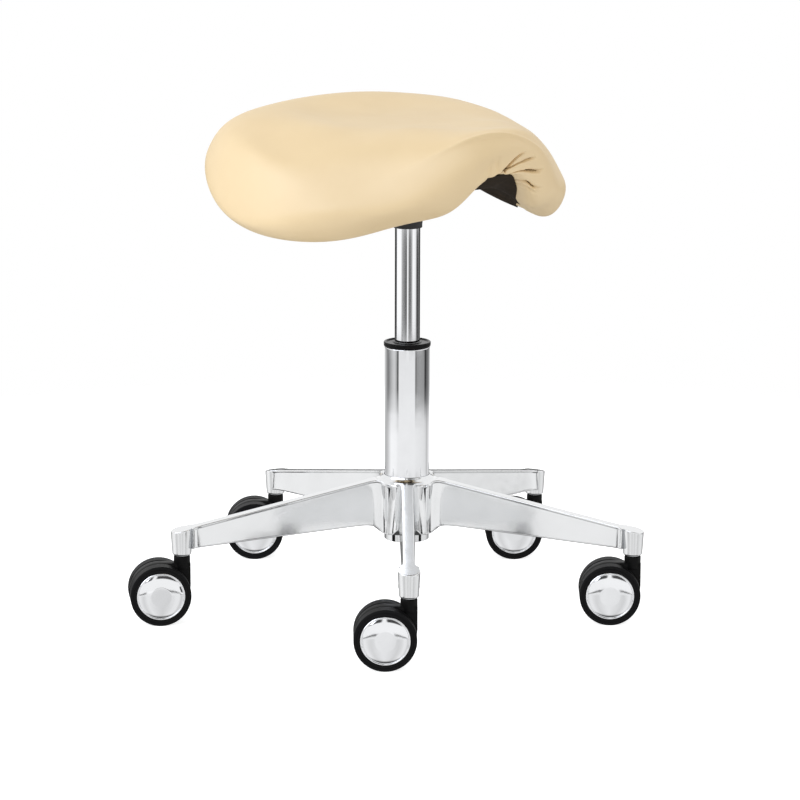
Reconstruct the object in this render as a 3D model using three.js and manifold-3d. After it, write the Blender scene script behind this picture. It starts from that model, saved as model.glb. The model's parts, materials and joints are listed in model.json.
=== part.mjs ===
// A saddle stool: a moulded saddle seat on a gas lift, carried by a die-cast five-arm base on
// twin-wheel castors. Millimetres, +Z up, the rider faces -Y. The origin is on the floor in the
// middle of the footprint. Heights named ...Z are above the floor.
import * as THREE from "three";
import { mergeVertices } from "three/addons/utils/BufferGeometryUtils.js";
import Module from "manifold-3d";

const wasm = await Module();
wasm.setup();

const DEG = Math.PI / 180;
const UP = new THREE.Vector3(0, 0, 1);

// Fits shared by the whole stool.
const seatGap = 0.3; // between two pieces that touch and do not move
const runGap = 0.25; // radial clearance of a shaft in its bore
const cutOver = 2; // how far a cutting tool runs past the face that it opens

// Facets of round pieces.
const roundSides = 24;
const wheelSides = 20;
const columnSides = 32;
const pinSides = 10;
const socketSides = 14;
const cornerSteps = 3;
const hoodSteps = 5;

// Five-arm base.
const armCount = 5;
const armRadius = 260.7; // column axis to castor stem
const firstArmHeading = -126.75 * DEG;
const hubBottomZ = 74;
const hubSkirtZ = 83.2;
const hubWaistZ = 88.2;
const hubShoulderZ = 96.2;
const hubRimZ = 140.6;
const hubTopZ = 148.1;
const hubFootRadius = 25.2;
const hubSkirtRadius = 27.9;
const hubWaistRadius = 30;
const hubShoulderRadius = 33.5;
const hubRimRadius = 36;
const hubLip = 1.1; // metal left round the tube at the hub's top
const fluteDepth = 2;
const flutesPerArm = 3;
const fluteSteps = 5;
const footNotchCount = 10;
const footNotchWidth = 3.4;
const footNotchDepth = 1.2;
const footNotchTurn = 28.5 * DEG; // from the first arm to a notch
const armRootRadius = 29;
const armRootTopZ = 146.2;
const armRootBottomZ = 95.2;
const armTipTopZ = 105.4;
const armTipBottomZ = 82;
const armWidth = 12.6;
const armWebInset = 1.1; // the side faces lie this far inside the top and bottom rails
const armRailHeight = 4.4;
const armRailRound = 1.4;
const armStationShares = [0, 0.07, 0.95, 1]; // of the arm's length
const armRootFlare = 2.2; // extra width where the arm grows out of the hub
const armRootDrop = 5; // its lower edge comes down into the hub
const armTipFlare = 1.6; // extra width where the arm meets its socket
const socketBottomZ = 75.5;
const socketRadius = 12;
const socketFootRadius = 10.5;
const socketEdge = 1.3;
const socketSink = 0.3; // the socket's roof lies this far below the arm's top
const socketRoof = 4.6; // metal left above the stem

// Stand tube and the gas lift in it.
const columnRadius = 25;
const columnWall = 2;
const columnTopZ = 292.8;
const columnFootRadius = 22.4;
const columnTaperZ = 147.2;
const columnFloor = 3;
const ringRadius = 26.1;
const ringHeight = 5.4;
const ringChamfer = 1.5;
const sleeveLength = 79;
const liftRadius = 14;
const liftWall = 1.6;
const liftFloor = 6;
const liftTaperLength = 18;
const liftTopDrop = 4; // from the seat plate's pan down to the cylinder's top
const liftTopRadius = 11.6;
const liftRoof = 12;
const liftEdge = 0.6;
const liftStroke = 124;
const bumperClearance = 2.2; // left between bump stop and cylinder in the lowest seat position
const rodRadius = 5;
const rodPinRadius = 4.2;
const rodPinDrop = 5.6; // how far the rod's pin stands out under the stand tube
const pistonThick = 8;
const pistonRise = 4; // piston above the lift's floor when the seat is up
const washerThick = 1.5;
const washerRadius = 12.5;
const bearingThick = 3;
const bumperThick = 14;
const bumperRadius = 11;
const clipThick = 1.3;
const clipRadius = 8;
const clipMouth = 4;
const clipGrooveDepth = 0.8;

// Castors.
const wheelRadius = 33.5;
const wheelWidth = 15.5;
const wheelShoulder = 2.2;
const castorOffset = 25; // stem axis to axle
const castorHeadings = [143.8, 141.5, 144.8, 145.8, 151].map((heading) => heading * DEG);
const hoodWidth = 14;
const wheelSideGap = 0.6; // between hood and wheel
const hoodRadius = 33.2; // top of the web between the wheels
const neckRadius = 9;
const neckTopZ = 73.8;
const neckBottomZ = 66;
const hoodHeelZ = 41.2; // where the hood's straight back starts to turn under
const hoodBossArc = [-120, -20].map((angle) => angle * DEG); // round the axle, under the hood
const hoodRoofArc = [8, 94].map((angle) => angle * DEG); // over the wheels
const hoodSoleZ = 23.2;
const axleBossRadius = 10.3;
const axleRadius = 3;
const stemRadius = 5.5;
const stemPinRadius = 4;
const stemPinLength = 26;
const stemCollarRadius = 8;
const stemCollarHeight = 1.2;
const stemTip = 1.2;
const capRadius = 26.4;
const capSeatDepth = 3;
const capDome = 3; // how far the chromed cap stands proud of the wheel
const capEdge = 1.1;
const capDomeShare = 0.85; // of the dome's height, half way out

// Saddle seat. Azimuth runs from the front of the seat (0 degrees) over the side to the rear (180).
const flapBottomZ = 427.2;
const saddleDepth = 120; // flap bottom to the middle of the seat
const saddleHalfWidth = 200;
const topCentreShare = 0.99;
const ringShares = [0.35, 0.6, 0.8, 0.93]; // of the outline's radius
const outlineShares = [0.91, 0.855, 0.88, 1, 1.095, 1.1, 0.99];
const innerTopShares = [0.99, 0.99, 0.99, 0.99, 1, 1.005, 1.005];
const middleTopShares = [1, 1.01, 0.965, 0.99, 1.045, 1.105, 1.135];
const shoulderShares = [1.03, 0.94, 0.83, 0.81, 0.975, 1.025, 1.04];
const edgeShares = [1.03, 0.81, 0.55, 0.65, 0.825, 0.885, 0.905];
const outerShares = [0.875, 0.565, 0.45, 0.225, 0.435, 0.72, 0.755];
const lowestShares = [0.185, 0.205, 0.06, 0.01, 0.18, 0.515, 0.56];
const gulletRiseShare = 0.48; // arch in the front edge
const gulletHalfAngle = 16.5 * DEG;
const rimRoll = 22; // radius of the padded edge
const rimRollShare = 0.3;
const rimRiseShare = 0.6;
const gulletInset = 3;
const gulletHem = 8;
const hemRise = 8;
const frontCrowdingShare = 0.4; // draws the meridians together towards the gullet
const saddleSides = 30;
const saddleRowShares = [
  0, 0.125, 0.25, 0.375, 0.4375, 0.5, 0.5625, 0.625, 0.6875, 0.75, 0.8125, 0.875, 0.9375, 1,
]; // of the way from the top centre to the hem
const underFlatShare = 0.6; // the underside is flat this far out, for the seat plate
const shellRowShares = [0, 0.45, 0.65, 0.8, 0.9, 0.955]; // rows of the underside, by its radius
const rimRowShares = [0.972, 0.985, 1]; // lip of the padding, edge of the cloth, hem of the cover
const coverThick = 2;
const clothThick = 1.2;
const shellThick = 9;

// Seat plate, socket and release lever.
const seatHollow = 52.7; // flap bottom to the top of the seat plate
const plateThick = 3;
const plateLength = 140;
const plateWidth = 86;
const panDepth = 20.7;
const panLength = 104;
const panWidth = 56;
const plateCorner = 12;
const panCorner = 8;
const socketLength = 32.7;
const socketMouthRadius = 16.2;
const socketLipHeight = 3;
const socketTopRadius = 19;
const socketWall = 0.4; // clearance of the taper seat, shown open
const screwInset = 30;
const screwSpread = 35.6;
const screwRadius = 3;
const screwHeadRadius = 5;
const screwHeadHeight = 4;
const screwBite = 8;
const leverHeading = 110 * DEG;
const leverRadius = 4;
const leverClearance = 3; // over the pan's floor
const leverPivot = 22; // column axis to the lever's pin
const leverBendStart = 76;
const leverBendEnd = 108;
const leverDrop = 17;
const leverEnd = 192;
const leverNose = 4;
const leverSides = 8;
const leverSteps = 14;
const leverPinRadius = 2.5;
const lugThick = 3;
const lugLength = 10;
const lugRise = 5; // lug above the lever's pin
const gripRadius = 7.5;
const gripLength = 62;
const gripRound = 2.5;
const gripBite = 54; // how far the lever reaches into the grip
const releaseRadius = 3;
const releaseLength = 18; // of it in the cylinder

// Heights that follow from the seat's.
const plateTopZ = flapBottomZ + seatHollow;
const panFloorZ = plateTopZ - panDepth;
const panInsideZ = panFloorZ + plateThick;
const leverZ = panInsideZ + leverClearance + leverRadius;
const socketRoofZ = panFloorZ - seatGap;
const socketMouthZ = socketRoofZ - socketLength;
const liftTopZ = panFloorZ - liftTopDrop;
const liftTaperZ = liftTopZ - liftTaperLength;
const releaseBottomZ = liftTopZ - releaseLength;

// A closed geometry as a manifold solid.
function solidOf(geometry) {
  const bare = geometry.index ? geometry.toNonIndexed() : geometry.clone();
  bare.deleteAttribute("normal");
  bare.deleteAttribute("uv");
  const merged = mergeVertices(bare, 1e-4);
  return new wasm.Manifold(
    new wasm.Mesh({
      numProp: 3,
      vertProperties: merged.attributes.position.array,
      triVerts: new Uint32Array(merged.index.array),
    }),
  );
}

// A manifold solid as a flat-shaded geometry.
function geometryOf(solid) {
  const mesh = solid.getMesh();
  const geometry = new THREE.BufferGeometry();
  geometry.setAttribute("position", new THREE.BufferAttribute(mesh.vertProperties, 3));
  geometry.setIndex(new THREE.BufferAttribute(mesh.triVerts, 1));
  const flat = geometry.toNonIndexed();
  flat.computeVertexNormals();
  return flat;
}

function join(...geometries) {
  return geometryOf(geometries.map(solidOf).reduce((all, next) => all.add(next)));
}

function cut(geometry, ...tools) {
  return geometryOf(tools.map(solidOf).reduce((rest, tool) => rest.subtract(tool), solidOf(geometry)));
}

// A profile of [radius, height] points turned about Z. It runs anticlockwise: up on the outside.
function turned(profile, sides) {
  const points = profile.map(([radius, height]) => new THREE.Vector2(radius, height));
  return new THREE.LatheGeometry(points, sides).rotateX(90 * DEG);
}

// A turned ring or tube, whose profile closes on itself.
function turnedRing(profile, sides) {
  return turned([...profile, profile[0]], sides);
}

// A straight round pin or drill from height low to height high.
function pin(radius, low, high, sides = pinSides) {
  return new THREE.CylinderGeometry(radius, radius, high - low, sides)
    .rotateX(90 * DEG)
    .translate(0, 0, (low + high) / 2);
}

// The radius of a faceted bore that leaves the running gap round a shaft.
function boreFor(radius, sides = pinSides) {
  return (radius + runGap) / Math.cos(Math.PI / sides);
}

// A flat shape extruded upwards from height low to height high.
function slab(shape, low, high) {
  const settings = { depth: high - low, bevelEnabled: false, curveSegments: cornerSteps };
  return new THREE.ExtrudeGeometry(shape, settings).translate(0, 0, low);
}

// A rectangle with round corners, centred on the origin.
function roundedRectangle(width, length, corner) {
  const x = width / 2;
  const y = length / 2;
  const shape = new THREE.Shape();
  shape.absarc(x - corner, corner - y, corner, -90 * DEG, 0);
  shape.absarc(x - corner, y - corner, corner, 0, 90 * DEG);
  shape.absarc(corner - x, y - corner, corner, 90 * DEG, 180 * DEG);
  shape.absarc(corner - x, corner - y, corner, 180 * DEG, 270 * DEG);
  return shape;
}

// A closed skin through rows of equal length. The first and last row may be a single point.
// Rows run down the outside and each row runs anticlockwise, seen from above. From row turnsBack
// on, where the rows come back up the inside, the four-sided faces are split the other way, so
// that two layers of one shape have the same facets.
function skinOf(rows, turnsBack = rows.length) {
  const positions = [];
  const push = (...points) => points.forEach((point) => positions.push(point.x, point.y, point.z));
  const sides = Math.max(...rows.map((row) => row.length));
  const at = (row, i) => (row.length === 1 ? row[0] : row[i % sides]);
  for (let k = 0; k + 1 < rows.length; k += 1) {
    for (let i = 0; i < sides; i += 1) {
      const [a, b] = [at(rows[k], i), at(rows[k], i + 1)];
      const [c, d] = [at(rows[k + 1], i), at(rows[k + 1], i + 1)];
      const other = k >= turnsBack;
      if (c !== d) push(other ? b : a, c, d);
      if (a !== b) push(a, other ? c : d, b);
    }
  }
  const geometry = new THREE.BufferGeometry();
  geometry.setAttribute("position", new THREE.Float32BufferAttribute(positions, 3));
  geometry.computeVertexNormals();
  return geometry;
}

// A solid lofted through sections of equal length, with flat ends.
function loftOf(sections) {
  const middle = (section) => {
    const sum = section.reduce((all, point) => all.add(point), new THREE.Vector3());
    return [sum.divideScalar(section.length)];
  };
  return skinOf([middle(sections[0]), ...sections, middle(sections.at(-1))]);
}

// Materials.
function finish(name, color, roughness, metalness) {
  return new THREE.MeshStandardMaterial({ name, color, roughness, metalness });
}
const polishedAluminium = finish("polished_aluminium", 0xd9dadb, 0.12, 1);
const chromedSteel = finish("chromed_steel", 0xdcdddf, 0.08, 1);
const zincSteel = finish("zinc_steel", 0xb4b6b8, 0.35, 1);
const blackNylon = finish("black_nylon", 0x161616, 0.45, 0);
const wheelNylon = finish("wheel_nylon", 0x1b1b1c, 0.5, 0);
const blackPaint = finish("black_paint", 0x1a1a1b, 0.5, 0);
const bumperRubber = finish("bumper_rubber", 0x202021, 0.8, 0);
const leatherette = finish("cream_leatherette", 0xecd9b2, 0.5, 0);
const paddingFoam = finish("padding_foam", 0xe6e0cf, 0.95, 0);
const beechPly = finish("beech_ply", 0xc9a878, 0.6, 0);
const dustCloth = finish("dust_cloth", 0x3a2c1c, 0.9, 0);

const stool = new THREE.Group();

function add(parent, name, geometry, material) {
  const mesh = new THREE.Mesh(geometry, material);
  mesh.name = name;
  parent.add(mesh);
  return mesh;
}

// Stand tube outline, which the hub's bore follows.
const columnWallShare = (columnRadius - columnFootRadius) / (columnTaperZ - hubBottomZ);
function columnRadiusAt(z) {
  return z >= columnTaperZ ? columnRadius : columnRadius - (columnTaperZ - z) * columnWallShare;
}

// The base's hub: lobes run down its wall, three to each arm, and fade out on the collar.
function hubBody() {
  const outline = [
    [hubSkirtZ, hubSkirtRadius, 0.6],
    [hubWaistZ, hubWaistRadius, 0.9],
    [hubShoulderZ, hubShoulderRadius, 1],
    [hubRimZ, hubRimRadius, 1],
    [hubTopZ, columnRadius + hubLip, 0],
  ];
  const steps = armCount * flutesPerArm * fluteSteps;
  const sections = outline.map(([z, radius, fluteShare]) => {
    const ring = [];
    for (let i = 0; i < steps; i += 1) {
      const angle = (i / steps) * 360 * DEG;
      const wave = (Math.cos(armCount * flutesPerArm * angle) - 1) / 2;
      const r = radius + fluteDepth * fluteShare * wave;
      ring.push(new THREE.Vector3(r * Math.cos(angle), r * Math.sin(angle), z));
    }
    return ring;
  });
  return loftOf(sections.reverse());
}

// Fall of the arm's top edge, and the height at which it crosses the stem's axis.
const armSlope = (armRootTopZ - armTipTopZ) / (armRadius - socketFootRadius - armRootRadius);
const socketTopZ = armTipTopZ - socketFootRadius * armSlope - socketSink;

// One arm along +X: a tall blade with a rail along its top and bottom edges and hollowed sides.
function armBlade() {
  const sections = [];
  const last = armRadius - socketFootRadius;
  for (const along of armStationShares) {
    const x = THREE.MathUtils.lerp(armRootRadius, last, along);
    const top = THREE.MathUtils.lerp(armRootTopZ, armTipTopZ, along);
    const drop = along === 0 ? armRootDrop : 0;
    const bottom = THREE.MathUtils.lerp(armRootBottomZ, armTipBottomZ, along) - drop;
    const flare = along === 0 ? armRootFlare : along === 1 ? armTipFlare : 0;
    const half = armWidth / 2 + flare;
    const web = half - armWebInset;
    const side = [
      [half - armRailRound, top],
      [half, top - armRailRound],
      [half, top - armRailHeight],
      [web, top - armRailHeight - armWebInset],
      [web, bottom + armRailHeight + armWebInset],
      [half, bottom + armRailHeight],
      [half - armRailRound, bottom],
    ];
    const mirrored = side.map(([y, z]) => [-y, z]).reverse();
    sections.push([...side, ...mirrored].map(([y, z]) => new THREE.Vector3(x, y, z)));
  }
  return loftOf(sections);
}

// The socket at the arm's tip: a slightly tapered cup whose roof runs on in the slope of the arm's top.
function armSocket() {
  const cup = turned(
    [
      [0, socketBottomZ],
      [socketFootRadius - socketEdge, socketBottomZ],
      [socketFootRadius, socketBottomZ + socketEdge],
      [socketRadius, socketTopZ - socketEdge],
      [socketRadius - socketEdge, socketTopZ],
      [0, socketTopZ],
    ],
    socketSides,
  );
  const place = cup.getAttribute("position");
  const middleZ = (socketBottomZ + socketTopZ) / 2;
  for (let i = 0; i < place.count; i += 1) {
    if (place.getZ(i) > middleZ) place.setZ(i, place.getZ(i) - place.getX(i) * armSlope);
  }
  return cup.translate(armRadius, 0, 0);
}

function starBase() {
  const blade = armBlade();
  const socket = armSocket();
  const stemHole = boreFor(stemRadius) + seatGap - runGap;
  const hole = pin(stemHole, socketBottomZ - cutOver, socketTopZ - socketRoof).translate(armRadius, 0, 0);
  const foot = turned(
    [
      [0, hubBottomZ],
      [hubFootRadius, hubBottomZ],
      [hubFootRadius, hubSkirtZ + cutOver],
      [0, hubSkirtZ + cutOver],
    ],
    columnSides,
  );
  const pieces = [hubBody(), foot];
  const holes = [];
  for (let k = 0; k < armCount; k += 1) {
    const turn = firstArmHeading + (k / armCount) * 360 * DEG;
    pieces.push(blade.clone().rotateZ(turn), socket.clone().rotateZ(turn));
    holes.push(hole.clone().rotateZ(turn));
  }
  for (let k = 0; k < footNotchCount; k += 1) {
    const turn = firstArmHeading + footNotchTurn + (k / footNotchCount) * 360 * DEG;
    const height = hubSkirtZ - hubBottomZ;
    const notch = new THREE.BoxGeometry(2 * footNotchDepth, footNotchWidth, 2 * height);
    holes.push(notch.translate(hubFootRadius, 0, hubBottomZ).rotateZ(turn));
  }
  const bore = [
    [0, hubBottomZ - cutOver],
    [columnRadiusAt(hubBottomZ - cutOver) + seatGap, hubBottomZ - cutOver],
    [columnRadius + seatGap, columnTaperZ],
    [columnRadius + seatGap, hubTopZ + cutOver],
    [0, hubTopZ + cutOver],
  ];
  return cut(join(...pieces), turned(bore, columnSides), ...holes);
}
add(stool, "star_base", starBase(), polishedAluminium);

// Stand tube: its tapered foot sits in the hub, and a floor closes it under the lift's rod.
const rodBore = boreFor(rodPinRadius);
const columnFloorZ = hubBottomZ + columnFloor;
const columnTube = turnedRing(
  [
    [rodBore, hubBottomZ],
    [columnFootRadius, hubBottomZ],
    [columnRadius, columnTaperZ],
    [columnRadius, columnTopZ],
    [columnRadius - columnWall, columnTopZ],
    [columnRadius - columnWall, columnTaperZ],
    [columnFootRadius - columnWall, columnFloorZ],
    [rodBore, columnFloorZ],
  ],
  columnSides,
);
add(stool, "column_tube", columnTube, chromedSteel);

// Guide sleeve: a long bush in the tube's mouth, with the ring that shows on top.
const ringBottomZ = columnTopZ + seatGap;
const ringTopZ = ringBottomZ + ringHeight;
const sleeveBore = boreFor(liftRadius, roundSides);
const guideSleeve = turnedRing(
  [
    [sleeveBore, columnTopZ - sleeveLength],
    [columnRadius - columnWall - seatGap, columnTopZ - sleeveLength],
    [columnRadius - columnWall - seatGap, ringBottomZ],
    [ringRadius - ringChamfer, ringBottomZ],
    [ringRadius, ringBottomZ + ringChamfer],
    [ringRadius, ringTopZ - ringChamfer],
    [ringRadius - ringChamfer, ringTopZ],
    [sleeveBore, ringTopZ],
  ],
  roundSides,
);
add(stool, "guide_sleeve", guideSleeve, blackNylon);

// The thrust stack on the tube's floor, from the bottom up.
function washer(bottom, thick, radius, bore) {
  return turnedRing(
    [
      [bore, bottom],
      [radius, bottom],
      [radius, bottom + thick],
      [bore, bottom + thick],
    ],
    socketSides,
  );
}
const stackBore = boreFor(rodPinRadius, socketSides);
const lowerWasherZ = columnFloorZ + seatGap;
const bearingZ = lowerWasherZ + washerThick + seatGap;
const upperWasherZ = bearingZ + bearingThick + seatGap;
const rodShoulderZ = upperWasherZ + washerThick + seatGap;
add(stool, "bearing_washer_lower", washer(lowerWasherZ, washerThick, washerRadius, stackBore), zincSteel);
add(stool, "thrust_bearing", washer(bearingZ, bearingThick, washerRadius, stackBore), zincSteel);
add(stool, "bearing_washer_upper", washer(upperWasherZ, washerThick, washerRadius, stackBore), zincSteel);
const bumperBore = boreFor(rodRadius);
add(stool, "bump_stop", washer(rodShoulderZ, bumperThick, bumperRadius, bumperBore), bumperRubber);

// Piston rod: its thin pin passes the stack and the floor, and a clip holds it from below.
const clipTopZ = hubBottomZ - seatGap;
const clipBottomZ = clipTopZ - clipThick;
const grooveRadius = rodPinRadius - clipGrooveDepth;
const liftBottomZ = rodShoulderZ + bumperThick + bumperClearance + liftStroke;
const pistonBottomZ = liftBottomZ + liftFloor + pistonRise;
const pistonRadius = liftRadius - liftWall - runGap - seatGap;
const pistonRod = turned(
  [
    [0, hubBottomZ - rodPinDrop],
    [rodPinRadius, hubBottomZ - rodPinDrop],
    [rodPinRadius, clipBottomZ - seatGap],
    [grooveRadius, clipBottomZ - seatGap],
    [grooveRadius, clipTopZ + seatGap / 2],
    [rodPinRadius, clipTopZ + seatGap / 2],
    [rodPinRadius, rodShoulderZ],
    [rodRadius, rodShoulderZ],
    [rodRadius, pistonBottomZ],
    [pistonRadius, pistonBottomZ],
    [pistonRadius, pistonBottomZ + pistonThick],
    [0, pistonBottomZ + pistonThick],
  ],
  pinSides,
);
add(stool, "piston_rod", pistonRod, zincSteel);
const clipRing = washer(clipBottomZ, clipThick, clipRadius, grooveRadius + seatGap);
const clipGap = new THREE.BoxGeometry(clipRadius + cutOver, clipMouth, clipThick + 2 * cutOver);
clipGap.translate((clipRadius + cutOver) / 2, 0, clipBottomZ + clipThick / 2);
add(stool, "retaining_clip", cut(clipRing, clipGap), zincSteel);

// Gas cylinder: the bright tube, with a taper at its top that wedges into the seat's socket.
const liftBore = liftRadius - liftWall;
const liftRodBore = boreFor(rodRadius);
const releaseBore = boreFor(releaseRadius);
const gasCylinder = turnedRing(
  [
    [liftRodBore, liftBottomZ],
    [liftRadius - liftEdge, liftBottomZ],
    [liftRadius, liftBottomZ + liftEdge],
    [liftRadius, liftTaperZ],
    [liftTopRadius, liftTopZ],
    [releaseBore, liftTopZ],
    [releaseBore, liftTopZ - liftRoof],
    [liftBore - liftRoof / 4, liftTopZ - liftRoof],
    [liftBore, liftTaperZ - liftRoof],
    [liftBore, liftBottomZ + liftFloor],
    [liftRodBore, liftBottomZ + liftFloor],
  ],
  roundSides,
);
add(stool, "gas_cylinder", gasCylinder, chromedSteel);
const releaseTopZ = leverZ - leverRadius - seatGap;
add(stool, "release_pin", pin(releaseRadius, releaseBottomZ, releaseTopZ), zincSteel);

// The socket under the seat plate, a cone round the cylinder's taper.
const taperSlope = (liftRadius - liftTopRadius) / (liftTopZ - liftTaperZ);
const seatSocket = turnedRing(
  [
    [liftRadius + socketWall, socketMouthZ],
    [socketMouthRadius - liftEdge, socketMouthZ],
    [socketMouthRadius, socketMouthZ + socketLipHeight],
    [socketTopRadius, socketRoofZ],
    [liftRadius + socketWall - (socketRoofZ - liftTaperZ) * taperSlope, socketRoofZ],
    [liftRadius + socketWall, liftTaperZ],
  ],
  roundSides,
);
add(stool, "seat_socket", seatSocket, blackPaint);

// Seat plate: a pressed pan with a flange. The lever lies in the pan and leaves through a slot.
const screwPlaces = [
  [1, -1],
  [1, 1],
  [-1, 1],
  [-1, -1],
].map(([x, y]) => [x * screwSpread, y * screwInset]);
const screwBore = boreFor(screwRadius);
function seatPlate() {
  const flange = slab(roundedRectangle(plateWidth, plateLength, plateCorner), plateTopZ - plateThick, plateTopZ);
  const pan = slab(roundedRectangle(panWidth, panLength, panCorner), panFloorZ, plateTopZ);
  const hollow = slab(
    roundedRectangle(panWidth - 2 * plateThick, panLength - 2 * plateThick, panCorner - plateThick),
    panInsideZ,
    plateTopZ + cutOver,
  );
  const slotWidth = 2 * leverRadius + 4 * seatGap + plateThick;
  const slotTopZ = plateTopZ - plateThick;
  const slotLength = panLength;
  const slot = new THREE.BoxGeometry(slotLength, slotWidth, slotTopZ - panInsideZ);
  slot.translate(leverPivot + slotLength / 2, 0, (slotTopZ + panInsideZ) / 2).rotateZ(leverHeading);
  const pinHole = pin(releaseBore + seatGap, panFloorZ - cutOver, panInsideZ + cutOver);
  const holes = screwPlaces.map(([x, y]) =>
    pin(screwBore, plateTopZ - plateThick - cutOver, plateTopZ + cutOver).translate(x, y, 0),
  );
  const body = cut(join(flange, pan), hollow, slot, pinHole, ...holes);
  const lugTop = leverZ + lugRise;
  const lugs = [-1, 1].map((side) => {
    const lug = new THREE.BoxGeometry(lugLength, lugThick, lugTop - panFloorZ - plateThick / 2);
    lug.translate(leverPivot, side * lugPlace, (lugTop + panFloorZ + plateThick / 2) / 2);
    return lug.rotateZ(leverHeading);
  });
  return cut(join(body, ...lugs), crossPin(boreFor(leverPinRadius), lugSpan + 2 * cutOver));
}
const lugPlace = leverRadius + 2 * seatGap + lugThick / 2;
const lugSpan = 2 * lugPlace + lugThick;

// A pin across the lever, at its pivot.
function crossPin(radius, length) {
  return new THREE.CylinderGeometry(radius, radius, length, pinSides)
    .translate(leverPivot, 0, leverZ)
    .rotateZ(leverHeading);
}
add(stool, "seat_plate", seatPlate(), blackPaint);
add(stool, "lever_pivot_pin", crossPin(leverPinRadius, lugSpan + 2 * seatGap), zincSteel);

// Release lever: a bent rod whose nose stands over the release pin, and its moulded grip.
function leverRod() {
  const lowZ = leverZ - leverDrop;
  const lean = (leverBendEnd - leverBendStart) / 3;
  const path = new THREE.CurvePath();
  const start = new THREE.Vector3(-leverNose, 0, leverZ);
  const bend = new THREE.Vector3(leverBendStart, 0, leverZ);
  const low = new THREE.Vector3(leverBendEnd, 0, lowZ);
  path.add(new THREE.LineCurve3(start, bend));
  path.add(
    new THREE.CubicBezierCurve3(
      bend,
      bend.clone().add(new THREE.Vector3(lean, 0, 0)),
      low.clone().sub(new THREE.Vector3(lean, 0, 0)),
      low,
    ),
  );
  path.add(new THREE.LineCurve3(low, new THREE.Vector3(leverEnd, 0, lowZ)));
  const section = new THREE.Shape();
  section.absarc(0, 0, leverRadius, 0, 360 * DEG);
  const settings = { steps: leverSteps, curveSegments: leverSides / 2, bevelEnabled: false, extrudePath: path };
  return new THREE.ExtrudeGeometry(section, settings).rotateZ(leverHeading);
}
const leverPinHole = crossPin(boreFor(leverPinRadius), 4 * leverRadius);
add(stool, "release_lever", cut(leverRod(), leverPinHole), zincSteel);
const gripBore = leverRadius + seatGap;
const gripEnd = gripLength - gripBite;
const gripProfile = [
  [0, gripEnd],
  [gripBore / Math.cos(Math.PI / pinSides), gripEnd],
  [gripBore / Math.cos(Math.PI / pinSides), gripLength],
  [gripRadius - gripRound, gripLength],
  [gripRadius, gripLength - gripRound],
  [gripRadius, gripRound],
  [gripRadius - gripRound, 0],
  [0, 0],
];
const grip = turned(gripProfile.reverse(), pinSides)
  .rotateY(-90 * DEG)
  .translate(leverEnd + gripEnd + seatGap, 0, leverZ - leverDrop)
  .rotateZ(leverHeading);
add(stool, "lever_grip", grip, blackNylon);

// The value at an azimuth of a table given at equal steps from front to rear: a cosine series
// that passes through every entry and is level at both ends, as a mirrored shape has to be.
function around(shares, azimuth) {
  const n = shares.length - 1;
  const ends = (k) => (k === 0 || k === n ? 0.5 : 1);
  let value = 0;
  for (let k = 0; k <= n; k += 1) {
    const wave = shares.reduce((sum, share, j) => sum + ends(j) * share * Math.cos((Math.PI * k * j) / n), 0);
    value += ((2 / n) * ends(k) * wave) * Math.cos(k * azimuth);
  }
  return value;
}

// Saddle heights are shares of its depth above the flaps' bottom.
function saddleZ(share) {
  return flapBottomZ + saddleDepth * share;
}

// The [radius, z] points that the seat's outer meridian passes, from the top centre to the hem.
function meridian(azimuth) {
  const radius = saddleHalfWidth * around(outlineShares, azimuth);
  const bell = 1 / (1 + (azimuth / gulletHalfAngle) ** 4);
  const outerZ = saddleZ(around(outerShares, azimuth));
  const lowestZ = saddleZ(around(lowestShares, azimuth) + gulletRiseShare * bell);
  const turnZ = rimRiseShare * rimRoll * (1 - bell) + ((outerZ - lowestZ) / 2) * bell;
  const tables = [innerTopShares, middleTopShares, shoulderShares, edgeShares];
  return [
    [0, saddleZ(topCentreShare)],
    ...tables.map((table, i) => [ringShares[i] * radius, saddleZ(around(table, azimuth))]),
    [radius, outerZ],
    [radius - rimRollShare * rimRoll, lowestZ + turnZ],
    [radius - rimRoll * (1 - bell) - gulletInset * bell, lowestZ],
    [radius - 2 * rimRoll * (1 - bell) - gulletHem * bell, lowestZ + hemRise * (1 - bell)],
  ];
}

// A point on the smooth curve through the meridian's points, at a share of the way along it.
function onMeridian(points, share) {
  const last = points.length - 1;
  const place = share * last;
  const i = Math.min(Math.floor(place), last - 1);
  const s = place - i;
  const before = i > 0 ? points[i - 1] : [-points[1][0], points[1][1]];
  const end = points[last];
  const after = i + 2 <= last ? points[i + 2] : [0, 1].map((c) => 2 * end[c] - points[last - 1][c]);
  return [0, 1].map((c) => {
    const [a, b, d, e] = [before[c], points[i][c], points[i + 1][c], after[c]];
    return b + (s * (d - a)) / 2 + s * s * (a - 2.5 * b + 2 * d - e / 2) + (s ** 3 * (3 * b - a - 3 * d + e)) / 2;
  });
}

// The place of a meridian point in the room. Azimuth 0 points to -Y, and +X is the seat's left.
function placed(radius, azimuth, z) {
  return new THREE.Vector3(radius * Math.sin(azimuth), -radius * Math.cos(azimuth), z);
}

const saddleAzimuths = [];
for (let i = 0; i < saddleSides; i += 1) {
  const even = (i / saddleSides) * 360 * DEG;
  saddleAzimuths.push(even - frontCrowdingShare * Math.sin(even));
}
const mirroredAzimuth = (azimuth) => (azimuth > Math.PI ? 2 * Math.PI - azimuth : azimuth);

// Rows of points on the seat's outer surface.
function outerRows() {
  const meridians = saddleAzimuths.map((azimuth) => meridian(mirroredAzimuth(azimuth)));
  return saddleRowShares.map((share) =>
    saddleAzimuths.map((azimuth, i) => {
      const [radius, z] = onMeridian(meridians[i], share);
      return placed(radius, azimuth, z);
    }),
  );
}

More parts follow.
